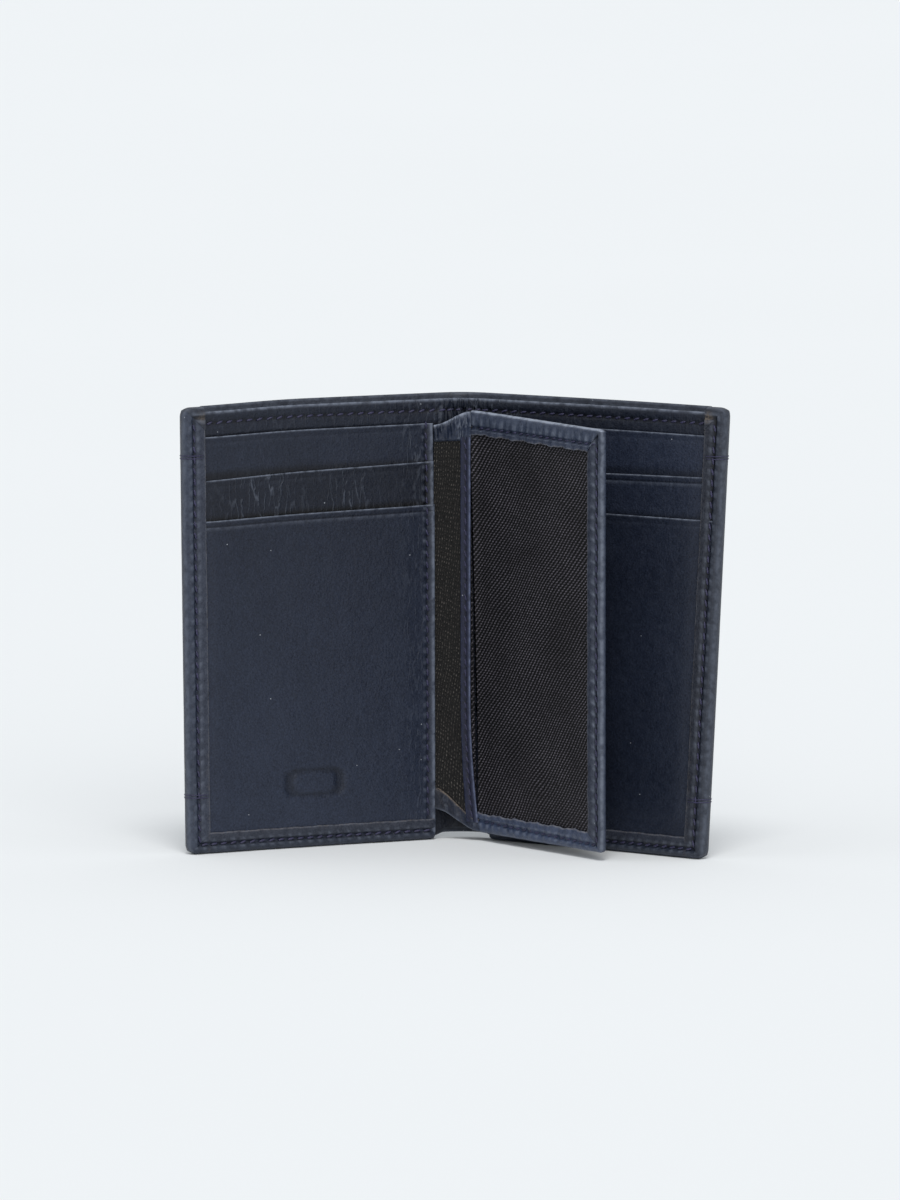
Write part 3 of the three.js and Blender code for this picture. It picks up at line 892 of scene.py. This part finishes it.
def card_pocket(side, index):
    """One card pocket: leather with a folded top edge and a line pressed below it."""
    top = SLOT_TOPS[index]
    level = POCKET_DEPTHS[index]
    last = index == 2
    line = PRESSED[side][index]
    inner = INNER_EDGE + (0.0 if last else 0.15)
    low = 1.6
    shown = low if last else SLOT_TOPS[index + 1] - 3
    up = steps(shown, top, STITCH_STEP)
    if not last:
        up = np.concatenate([steps(low, shown, 5.0)[:-1], up])
    up = with_edges(together(up, top - np.array([1.1, 1.3, 1.5, 1.7, 1.9])), 0.3, low=False)
    gap = 0.5 if last and side == "left" else 0.95
    across = together(steps(inner, inner + 4, 0.35), steps(inner + 4, EDGE - 1.6, gap))
    across = with_edges(across, 0.35, high=False)
    slant = SLOT_SLANT[side][index]
    cover = cover_place(side)

    def place(a, t, z):
        off = slant[0] + (slant[1] - slant[0]) * (np.asarray(a) - inner) / (EDGE - STRIP - inner)
        return cover(a, t, z + off * smooth(z, top - 30, top - 3))

    def half(a, z):
        return np.minimum(0.24, np.minimum(rounded(top - z, 0.24), rounded(a - inner, 0.24)))

    def middle(a, z):
        pressed = 0.12 * line * hill(top - z - 1.5, 0.2)
        turn = np.cos(2 * math.pi * seam_phase(z))
        seam = 0.24 * hill(a - inner - SEAM_GROOVE, 0.4) * (1 + 0.5 * turn)
        sag = 0.16 * np.sin(math.pi * np.clip((a - inner) / 60, 0, 1)) * smooth(z, top - 8, top)
        cards = 0.3 * smooth(a - inner, 2.5, 8) * smooth(EDGE - a, STRIP, STRIP + 3) * smooth(z, 5.5, 12)
        roll = 0.22 * hill(a - inner - 0.6, 0.5) + 0.06 * turn * hill(a - inner - 1.1, 0.3)
        lip = 0.2 * hill(top - z, 0.9) * smooth(a - inner, 1.5, 6)
        value = level + sag + roll + lip - pressed - seam + (cards if last else 0.35 * cards)
        if last and side == "left":
            value = value - 0.36 * debossed(a, z)
        return value

    # Painted highlight and real rubbing: the folded slot edge, the pressed line, the puckers by the seam
    # holes and the rolled inner edge are drawn lighter.
    def worn_and_lit(a, z):
        edge = 1.0 * hill(top - z, 0.25)
        pressed = 0.3 * line * hill(top - z - 1.8, 0.18)
        turn = np.maximum(-np.cos(2 * math.pi * seam_phase(z)), 0)
        pucker = 0.5 * turn * hill(a - inner - 2.7, 0.35)
        return np.maximum(np.maximum(edge, pressed), np.maximum(pucker, hill(a - inner - 0.4, 0.5)))

    # Painted shade in the seam holes, in the pressed line and in the crevice just above the next pocket's
    # edge, on top of the pocket's tone; the left bottom pocket gets lighter towards the bottom and its
    # pressed outline darker.
    def shaded(a, z):
        hole = np.maximum(np.cos(2 * math.pi * seam_phase(z)), 0) + 0.6
        value = TONES[side][index] - 0.4 * hole * hill(a - inner - SEAM_GROOVE, 0.45)
        value = value - 0.35 * line * hill(top - z - 1.35, 0.22)
        if not last:
            value = value - 0.6 * (1 - smooth(z, SLOT_TOPS[index + 1] + 0.2, SLOT_TOPS[index + 1] + 2.2))
        elif side == "left":
            value = value + 0.42 * (1 - z / top) - 0.5 * debossed(a, z)
        return value

    def creased(a, z):
        strip = 1.0 if index == 1 and side == "left" else 0.12
        near = EDGE - a
        patch = hill(near - 20, 7) + 0.9 * hill(near - 42, 4) + 0.15
        seam = 0.9 * hill(a - inner - 5, 3) * (0.9 if index == 0 else 0.35)
        return strip * patch * (0.2 if last else 1.0) + seam * (1 if side == "left" else 0.3)

    piece = sheet(
        f"{side}_pocket_{POCKET_NAMES[index]}", place, across, up,
        lambda a, z: middle(a, z) + half(a, z), lambda a, z: middle(a, z) - half(a, z),
        finishes()["panel"], {"wear_and_highlight": worn_and_lit, "crease": creased, "shade": shaded})
    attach(piece, body(side))
    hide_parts(f"{side}_card_pocket_{POCKET_NAMES[index]}")
    return piece


def pocket_level(z):
    """Depth of the panel's visible face at a height."""
    index = 2 if z < SLOT_TOPS[2] else 1 if z < SLOT_TOPS[1] else 0
    return POCKET_DEPTHS[index] + 0.2


def tube(name, path, radius, material, sides=7):
    """A closed round tube along a path of points in millimetres."""
    path = np.asarray(path, float)
    points, faces = [], []
    guide = np.array([0.0, 0.0, 1.0])
    for i, here in enumerate(path):
        ahead = path[min(i + 1, len(path) - 1)] - path[max(i - 1, 0)]
        ahead /= np.linalg.norm(ahead)
        one = np.cross(ahead, guide)
        one /= np.linalg.norm(one)
        two = np.cross(ahead, one)
        thick = radius * (0.45 if i in (0, len(path) - 1) else 1.0)
        for k in range(sides):
            angle = 2 * math.pi * k / sides
            points.append(here + thick * (math.cos(angle) * one + math.sin(angle) * two))
    for i in range(len(path) - 1):
        for k in range(sides):
            j = (k + 1) % sides
            faces.append((i * sides + k, i * sides + j, (i + 1) * sides + j, (i + 1) * sides + k))
    faces += [tuple(range(sides))[::-1], tuple((len(path) - 1) * sides + k for k in range(sides))]
    return new_piece(name, points, faces, material, sharp=80)


def bar_tack(side, level):
    """Two close passes of thread sewn over the cover's edge."""
    place = cover_place(side)
    sewn = STITCH_INSET + 0.3
    made = []
    for k, shift in enumerate((-0.32, 0.32)):
        height = TACK_HEIGHTS[level] + shift
        path = []
        for inset in (4.6, 3.2, sewn, 1.6):
            sunk = 0.12 if inset == sewn else 0.0
            path.append(place(EDGE - inset, STACK + 0.1 - sunk, height))
        for step in range(1, 8):
            angle = math.pi * (1 - step / 8)
            reach = EDGE_RADIUS * (1 - math.sin(angle)) - 0.02
            depth = STACK * (1 - math.cos(angle)) / 2
            path.append(place(EDGE - reach, depth, height + 0.1 * math.sin(step)))
        for inset in (1.6, STITCH_INSET, 3.4):
            path.append(place(EDGE - inset, -0.1, height))
        made.append(tube(f"{side}_{level}_tack_{k}", path, 0.14, finishes()["thread"]))
    first = made[0]
    with bpy.context.temp_override(active_object=first, selected_editable_objects=made):
        bpy.ops.object.join()
    first.name = f"{side}_{level}_tack"
    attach(first, body(side))
    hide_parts(f"{side}_{level}_bar_tack")
    return first


def finish_thread(piece, node, rides):
    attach(piece, rides)
    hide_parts(node)
    return piece


def side_stitching(side):
    """Perimeter, divider and inner seam stitches of one side."""
    place = cover_place(side)
    x = SEWN_END
    low = STITCH_INSET
    edge = stitch_line(
        f"{side}_edge_stitches", place, [(SEWN_START, low), (x, low), (x, SEWN_TOP)],
        lambda a, z: STACK - 0.04)
    finish_thread(edge, f"{side}_edge_thread", body(side))
    seam = stitch_line(
        f"{side}_seam_stitches", place, [(INNER_EDGE + SEAM_INSET, end) for end in SEAM],
        lambda a, z: pocket_level(z) - 0.06)
    finish_thread(seam, f"{side}_inner_seam_thread", body(side))
    line = DIVIDER_TOP - DIVIDER_LINE
    divider = stitch_line(
        f"{side}_divider_stitches", place, [(end, line) for end in DIVIDER_SEWN],
        lambda a, z: DIVIDER_DEPTH + 0.34 + float(gathers(a, z, DIVIDER_TOP)))
    bend_at_spine(divider, side)
    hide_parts(f"{side}_divider_thread")


# ------------------------------------------------------------------ the centre leaf

def leaf_line(s, z, part):
    """Inset of the leaf's stitches from its edge."""
    if part == "side":
        return 1.6
    if part == "bottom":
        return 2.9 - 1.2 * s / LEAF_LENGTH
    return 3.9 - 0.3 * s / LEAF_LENGTH


def leaf_leather():
    """The leaf's back and the frame round its window: one leather turned forward at its edges."""
    across = together(
        steps(0, 4, 0.4), steps(4, LEAF_LENGTH - 3, STITCH_STEP), steps(LEAF_LENGTH - 3, LEAF_LENGTH, 0.4))
    up = together(
        steps(LEAF_LOW, LEAF_LOW + 3, 0.4), steps(LEAF_LOW + 3, LEAF_TOP - 3, STITCH_STEP),
        steps(LEAF_TOP - 3, LEAF_TOP, 0.4))

    def depth_at(s, z, part):
        puff = 0.12 * math.sin(s * 0.9 + z * 0.31) + 0.1 * math.sin(s * 2.1 - z * 0.2)
        if part == "side":
            puff = 0.06 * math.sin(z * 0.5)
        return LEAF_DEPTH + puff * float(smooth(s, 0, 3))

    def phase(s, z, part):
        return (z if part == "side" else s) / STITCH_PITCH

    # Painted light by part: the side strip darker, the top strip lighter away from the fold and the bottom
    # strip much lighter.
    def tone(s, z, part):
        return {"side": -0.26, "top": -0.04 + 0.02 * min(s, 10), "bottom": 0.8}[part]

    far, corner = 8.5, 1.2
    # shine=0.9 is a painted highlight along the frame's top edge.
    rows = edge_rows(
        depth_at, (FRAME_SIDE, FRAME_BOTTOM, FRAME_TOP), 0.5, far, leaf_line, phase, 0.55, dip=0.2, leg=0.45,
        wave=0.9, tone=tone, shine=0.9)
    piece = wrap(
        "leaf_leather", leaf_place, across, up, LEAF_LOW, LEAF_TOP, corner, rows, finishes()["leaf"], far)
    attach(piece, "centre_leaf")
    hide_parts("leaf_back_leather", "leaf_window_frame")
    return piece


def window_mesh():
    """The see-through pocket's twill mesh."""
    across = np.concatenate([[-0.6, 0.0, 0.6, 1.2, 1.9], steps(2.7, LEAF_LENGTH - 2.2, 1.0)])
    up = steps(LEAF_LOW + 2.2, LEAF_TOP - 2.2, 1.2)

    def front(a, z):
        slack = 0.10 * np.sin(a / 6.5 + z / 17.0) * smooth(a, 1, 8) * smooth(LEAF_LENGTH - a, 2, 9)
        return 1.62 + 0.4 * (1 - smooth(a, 0, 3)) + slack

    piece = sheet(
        "leaf_mesh", leaf_place, across, up, front, lambda a, z: front(a, z) - 0.2, finishes()["mesh"])
    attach(piece, "centre_leaf")
    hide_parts("leaf_mesh_window")
    return piece


def leaf_lining():
    """Cloth behind the mesh."""
    across = steps(0.3, LEAF_LENGTH - 1.8, 3.0)
    up = steps(LEAF_LOW + 1.6, LEAF_TOP - 1.6, 4.0)
    piece = sheet(
        "leaf_back_lining", leaf_place, across, up, lambda a, z: 1.0 + 0 * a, lambda a, z: 0.86 + 0 * a,
        finishes()["lining"])
    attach(piece, "centre_leaf")
    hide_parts("leaf_lining")
    return piece


BINDING = (-2.75, -0.1)
ROOT_SPAN = 9.6


def binding_place(a, t, z):
    """a is the distance from the leaf's fold along the root, t forwards from the root."""
    return root_place(1 + np.asarray(a) / ROOT_SPAN, t, z)


def mesh_binding():
    """Leather strip folded over the mesh's open edge and sewn down its middle."""
    start, stop = BINDING
    across = with_edges(steps(start, stop, 0.2), 0.25)
    up = with_edges(steps(LEAF_LOW + FRAME_BOTTOM - 2.2, LEAF_TOP - FRAME_TOP - 0.6, STITCH_STEP), 0.2)
    middle = (start + stop) / 2

    def front(a, z):
        swell = rounded(np.minimum(a - start, stop - a), 0.42)
        turn = np.cos(2 * math.pi * z / STITCH_PITCH)
        return 0.62 + swell - 0.2 * hill(a - middle, 0.25) * (1 + 0.4 * turn)

    # Painted highlight and real rubbing: the strip's edges are drawn lighter, the right one most.
    def worn_and_lit(a, z):
        return 0.8 * hill(stop - a - 0.15, 0.3) + 0.2 * hill(a - start, 0.3)

    # Painted shade: the strip is drawn darker, most of all in the groove of its middle stitches.
    def shaded(a, z):
        return -0.2 - 0.35 * hill(a - middle, 0.3)

    piece = sheet(
        "leaf_binding", binding_place, across, up, front, lambda a, z: 0.45 + 0 * a, finishes()["binding"],
        {"wear_and_highlight": worn_and_lit, "shade": shaded})
    bend_root(piece)
    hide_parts("leaf_mesh_binding")
    return piece


def back_pocket():
    """A slip pocket on the back of the leaf."""
    start, stop = 1.2, LEAF_LENGTH - 2.9
    bottom, top = LEAF_LOW + 2.9, LEAF_TOP - 12
    across = with_edges(steps(start, stop, 1.4), 0.2)
    up = with_edges(steps(bottom, top, 1.4), 0.2)

    def outward(a, z):
        edge = np.minimum(np.minimum(a - start, stop - a), np.minimum(z - bottom, top - z))
        return -0.02 - 0.9 * rounded(edge, 0.2) - 0.08 * smooth(edge, 3, 10)

    def worn_and_lit(a, z):
        return 0.7 * np.exp(-((top - z) / 0.3) ** 2)

    piece = sheet(
        "leaf_slip_pocket", leaf_place, across, up, lambda a, z: 0.1 + 0 * a, outward, finishes()["leaf"],
        {"wear_and_highlight": worn_and_lit})
    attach(piece, "centre_leaf")
    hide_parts("leaf_back_pocket")
    return piece


def leaf_stitching():
    """Stitches round the frame and down the binding."""
    start, side = 2.6, LEAF_LENGTH - leaf_line(0, 0, "side")
    corners = [
        (start, LEAF_TOP - leaf_line(start, 0, "top")), (side, LEAF_TOP - leaf_line(side, 0, "top")),
        (side, LEAF_LOW + leaf_line(side, 0, "bottom")), (start, LEAF_LOW + leaf_line(start, 0, "bottom"))]
    frame_row = stitch_line(
        "leaf_frame_stitches", leaf_place, corners, lambda a, z: LEAF_DEPTH - 0.08, 1.7, 0.44)
    finish_thread(frame_row, "leaf_frame_thread", "centre_leaf")
    middle = sum(BINDING) / 2
    binding_row = stitch_line(
        "leaf_binding_stitches", binding_place,
        [(middle, LEAF_LOW + FRAME_BOTTOM - 1.6), (middle, LEAF_TOP - FRAME_TOP - 1.4)],
        lambda a, z: 0.62 + 0.42 - 0.12, 1.8, 0.42)
    bend_root(binding_row)
    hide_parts("leaf_binding_thread")


# ------------------------------------------------------------------ the leaf's sewn root

def root_place(f, t, z):
    """f runs from 0 at the left panel's inner seam to 1 at the fold; t forwards."""
    f, t, z = (np.asarray(v, float) for v in np.broadcast_arrays(f, t, z))
    start = cover_place("left")(INNER_EDGE - 0.1 + 0 * f, 3.0, z)
    end = leaf_place(0 * f, LEAF_DEPTH - 0.5, z)
    middle = (start + end) / 2 + np.array([0.0, 1.3, 0.0])
    w0, w1, w2 = (1 - f) ** 2, 2 * f * (1 - f), f ** 2
    where = start * w0[..., None] + middle * w1[..., None] + end * w2[..., None]
    return where + np.stack([0 * t, -t, 0 * t], -1)


def root_level(f, g):
    """Height on the root: g runs from its lower to its upper edge, both cut slantwise."""
    ease = smooth(f, 0.0, 1.0)
    low = LEAF_LOW + 5.2 - 4.9 * ease
    high = LEAF_TOP - 3.4 + 3.2 * ease
    hem_low, hem_high = low + 5.0 - 2.2 * ease, LEAF_TOP - 7.2 + 0.2 * ease
    return np.interp(g, ROOT_MARKS, [0, 1, 2, 3]), (low, hem_low, hem_high, high)


ROOT_MARKS = (0.0, 0.1, 0.9, 1.0)


def root_height(f, g):
    step, (low, hem_low, hem_high, high) = root_level(f, g)
    first = low + (hem_low - low) * np.clip(step, 0, 1)
    middle = (hem_high - hem_low) * np.clip(step - 1, 0, 1)
    last = (high - hem_high) * np.clip(step - 2, 0, 1)
    return first + middle + last


def root_leather():
    """Leather of the root, gathered at its top where it is caught in the seam."""
    shares = np.linspace(0, 1, 44)
    hems = np.array([
        0.0, 0.002, 0.006, 0.012, 0.025, 0.04, 0.055, 0.07, 0.082, 0.09, 0.095, 0.098, 0.1, 0.103, 0.106])
    levels = np.unique(np.round(np.concatenate([hems, np.linspace(0.12, 0.88, 36), 1 - hems]), 5))

    def placed(f, t, g):
        near_top = smooth(g, 0.895, 0.93)
        near_low = 1 - smooth(g, 0.07, 0.105)
        folds = 0.34 * near_top * (np.sin(f * 26 + g * 40) + 0.6 * np.sin(f * 43 - 1)) * (1 - 0.3 * f)
        folds = folds + 0.2 * near_low * np.sin(f * 17)
        border = 0.55 * (smooth(g, 0.897, 0.903) + 1 - smooth(g, 0.097, 0.103))
        return root_place(f, t + folds + border, root_height(f, g))

    def half(f, g):
        return np.minimum(0.3, rounded(np.minimum(g, 1 - g) * 45, 0.3))

    # Painted highlight and real rubbing along the top and bottom edges.
    def worn_and_lit(f, g):
        return 0.9 * np.exp(-(((1 - g) * 45 / 0.5) ** 2)) + 0.5 * np.exp(-((g * 45 / 0.35) ** 2))

    def raw(f, g):
        low = 1.3 * hill(g - 0.1, 0.007) * smooth(f, 0.0, 0.15)
        return low + 0.12 * hill(g - 0.05, 0.04) * np.maximum(np.sin(f * 31 + g * 60), 0)

    def creased(f, g):
        return 1.0 * smooth(g, 0.89, 0.91) + 0.4

    # Painted shade: darker towards the seam end, where the root lies in shade, and darker along the lower
    # border.
    def shaded(f, g):
        return -0.42 + 0.42 * f - 0.25 * (1 - smooth(g, 0.08, 0.12))

    piece = sheet(
        "root_leather", placed, shares, levels, lambda f, g: half(f, g), lambda f, g: -half(f, g),
        finishes()["leaf"], {"wear_and_highlight": worn_and_lit, "raw": raw, "crease": creased, "shade": shaded})
    bend_root(piece)
    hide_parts("leaf_root_leather")
    return piece


def root_lining():
    """Cloth lining of the root, between its leather borders."""
    shares = np.linspace(0.0, 1.0, 14)
    levels = np.linspace(0.085, 0.915, 60)

    def front(f, g):
        return 0.46 + 0.05 * np.sin(g * 60 + f * 5)

    piece = sheet(
        "root_cloth", lambda f, t, g: root_place(f, t, root_height(f, g)), shares, levels, front,
        lambda f, g: front(f, g) - 0.12, finishes()["lining"])
    # The weave is measured in millimetres on the cloth.
    for name, size in (("across", 9.0), ("along", 106.0)):
        for item in piece.data.attributes[name].data:
            item.value *= size
    bend_root(piece)
    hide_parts("leaf_root_lining")
    return piece


def bend_root(piece):
    start = ground_point(root_place(0.0, 0, 50))
    end = ground_point(root_place(1.0, 0, 50))
    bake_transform(piece)


# ------------------------------------------------------------------ stage

FLOOR_HALF = 30.0                     # metres
LIGHTS = (                            # name, degrees to the right and above, strength, spread in degrees
    ("overhead", 4.0, 62.0, 1.3, 22.0),
    ("front", 16.0, 26.0, 0.7, 40.0),
)
CAMERA_DISTANCE = 4.0                 # metres
LENS = 514.05                         # millimetres, for a sensor 36 millimetres wide
AIM_DEPTH = 2.0                       # millimetres


def direction(turn, lift):
    """Unit vector from the wallet, turned to the right and lifted, both in radians."""
    return Vector((math.sin(turn) * math.cos(lift), -math.cos(turn) * math.cos(lift), math.sin(lift)))


def face(holder, back):
    """Turns a lamp or camera so that it looks away from back."""
    holder.rotation_mode = "QUATERNION"
    holder.rotation_quaternion = back.to_track_quat("Z", "Y")


def studio():
    """Pale floor and world, and soft overhead and frontal light."""
    world = bpy.data.worlds.new("Studio")
    world.use_nodes = True
    world.node_tree.nodes["Background"].inputs["Color"].default_value = srgb("#f4f7fa")
    world.node_tree.nodes["Background"].inputs["Strength"].default_value = 0.62
    bpy.context.scene.world = world
    size = FLOOR_HALF
    data = bpy.data.meshes.new("floor")
    corners = [(-size, -size, 0), (size, -size, 0), (size, size, 0), (-size, size, 0)]
    data.from_pydata(corners, [], [(0, 1, 2, 3)])
    floor = linked("floor", data)
    paper, tree, shader = new_material("White studio paper")
    place = add_node(tree, "ShaderNodeTexCoord").outputs["Object"]
    cloud = noise(tree, place, 3.0, 2.0)
    tint = mixed(tree, cloud, srgb("#eceff1"), srgb("#eef1f3"))
    tree.links.new(tint, shader.inputs["Base Color"])
    shader.inputs["Roughness"].default_value = 0.9
    shader.inputs["Specular IOR Level"].default_value = 0.0
    data.materials.append(paper)
    for name, turn, lift, strength, spread in LIGHTS:
        lamp = bpy.data.lights.new(name, "SUN")
        lamp.energy = strength
        lamp.angle = math.radians(spread)
        lamp.color = (1.0, 0.99, 0.975)
        face(linked(name, lamp), direction(math.radians(turn), math.radians(lift)))


def camera(settings):
    """Long lens, slightly above and a little to the right of the wallet."""
    data = bpy.data.cameras.new("camera")
    data.sensor_width = 36.0
    data.lens = LENS
    data.clip_start = 0.1
    data.clip_end = 100
    holder = linked("camera", data)
    back = direction(settings.camera_turn, settings.camera_lift)
    target = Vector((settings.aim_across, AIM_DEPTH * MM, settings.aim_height))
    holder.location = target + back * CAMERA_DISTANCE
    face(holder, back)
    bpy.context.scene.camera = holder
    bpy.context.scene.view_settings.view_transform = "Standard"


# ------------------------------------------------------------------ add-on

def colour_setting(name, described, value):
    return bpy.props.FloatVectorProperty(
        name=name, description=described, default=srgb(value), size=4, min=0.0, max=1.0, subtype="COLOR")


class WalletSettings(bpy.types.PropertyGroup):
    cover_dark: colour_setting("Cover, dark", "Darker tone of the covers' leather", "#161b27")
    cover_light: colour_setting("Cover, light", "Lighter tone of the covers' leather", "#272e3d")
    panel_dark: colour_setting("Pockets, dark", "Darker tone of the pockets' leather", "#151a27")
    panel_light: colour_setting("Pockets, light", "Lighter tone of the pockets' leather", "#262d3d")
    binding_dark: colour_setting("Binding, dark", "Darker tone of the binding", "#171a2b")
    binding_light: colour_setting("Binding, light", "Lighter tone of the binding", "#262b45")
    leaf_dark: colour_setting("Leaf, dark", "Darker tone of the leaf's leather", "#1b2333")
    leaf_light: colour_setting("Leaf, light", "Lighter tone of the leaf's leather", "#2d364b")
    thread_dark: colour_setting("Thread, dark", "Darker tone of the sewing thread", "#0e0e1e")
    thread_light: colour_setting("Thread, light", "Lighter tone of the sewing thread", "#3b3a5e")
    camera_turn: bpy.props.FloatProperty(
        name="Camera turn", description="How far the camera stands round to the right",
        default=math.radians(4.2), subtype="ANGLE")
    camera_lift: bpy.props.FloatProperty(
        name="Camera lift", description="How far the camera stands above the wallet",
        default=math.radians(6.1), subtype="ANGLE")
    aim_across: bpy.props.FloatProperty(
        name="Aim across", description="Where the camera aims, to the right of the spine",
        default=-2.0 * MM, precision=4, subtype="DISTANCE", unit="LENGTH")
    aim_height: bpy.props.FloatProperty(
        name="Aim height", description="Height that the camera aims at",
        default=58.0 * MM, precision=4, subtype="DISTANCE", unit="LENGTH")


class BuildCovers(bpy.types.Operator):
    """Build the outer leather of both sides"""
    bl_idname = "wallet.build_covers"
    bl_label = "Outer covers"

    def execute(self, context):
        for side in ("left", "right"):
            outer_cover(side)
            cover_lining(side)
        return {"FINISHED"}


class BuildPanels(bpy.types.Operator):
    """Build the divider and card pockets of both sides"""
    bl_idname = "wallet.build_panels"
    bl_label = "Dividers and pockets"

    def execute(self, context):
        for side in ("left", "right"):
            bill_divider(side)
            pocket_backing(side)
            for index in range(3):
                card_pocket(side, index)
        return {"FINISHED"}


class BuildStitching(bpy.types.Operator):
    """Sew both sides and the leaf"""
    bl_idname = "wallet.build_stitching"
    bl_label = "Stitching"

    def execute(self, context):
        for side in ("left", "right"):
            side_stitching(side)
            bar_tack(side, "upper")
            bar_tack(side, "lower")
        leaf_stitching()
        return {"FINISHED"}


class BuildLeaf(bpy.types.Operator):
    """Build the centre leaf with its mesh window"""
    bl_idname = "wallet.build_leaf"
    bl_label = "Centre leaf"

    def execute(self, context):
        leaf_leather()
        window_mesh()
        leaf_lining()
        mesh_binding()
        back_pocket()
        return {"FINISHED"}


class BuildRoot(bpy.types.Operator):
    """Build the leaf's sewn root"""
    bl_idname = "wallet.build_root"
    bl_label = "Leaf root"

    def execute(self, context):
        root_leather()
        root_lining()
        return {"FINISHED"}


class BuildStage(bpy.types.Operator):
    """Set up the floor, the lights and the camera"""
    bl_idname = "wallet.build_stage"
    bl_label = "Stage"

    def execute(self, context):
        studio()
        camera(context.scene.wallet_settings)
        return {"FINISHED"}


OPERATORS = (BuildCovers, BuildPanels, BuildStitching, BuildLeaf, BuildRoot, BuildStage)


class WalletPanel(bpy.types.Panel):
    bl_idname = "VIEW3D_PT_wallet"
    bl_label = "Trifold wallet"
    bl_space_type = "VIEW_3D"
    bl_region_type = "UI"
    bl_category = "Wallet"

    def draw(self, context):
        for key in WalletSettings.__annotations__:
            self.layout.prop(context.scene.wallet_settings, key)
        for operator in OPERATORS:
            self.layout.operator(operator.bl_idname)


def register():
    for item in (WalletSettings, *OPERATORS, WalletPanel):
        bpy.utils.register_class(item)
    bpy.types.Scene.wallet_settings = bpy.props.PointerProperty(type=WalletSettings)


def unregister():
    del bpy.types.Scene.wallet_settings
    for item in (WalletPanel, *OPERATORS[::-1], WalletSettings):
        bpy.utils.unregister_class(item)


def main():
    register()
    bpy.ops.wallet.build_covers()
    bpy.ops.wallet.build_panels()
    bpy.ops.wallet.build_leaf()
    bpy.ops.wallet.build_root()
    bpy.ops.wallet.build_stitching()
    bpy.ops.wallet.build_stage()


if __name__ == "__main__":
    main()
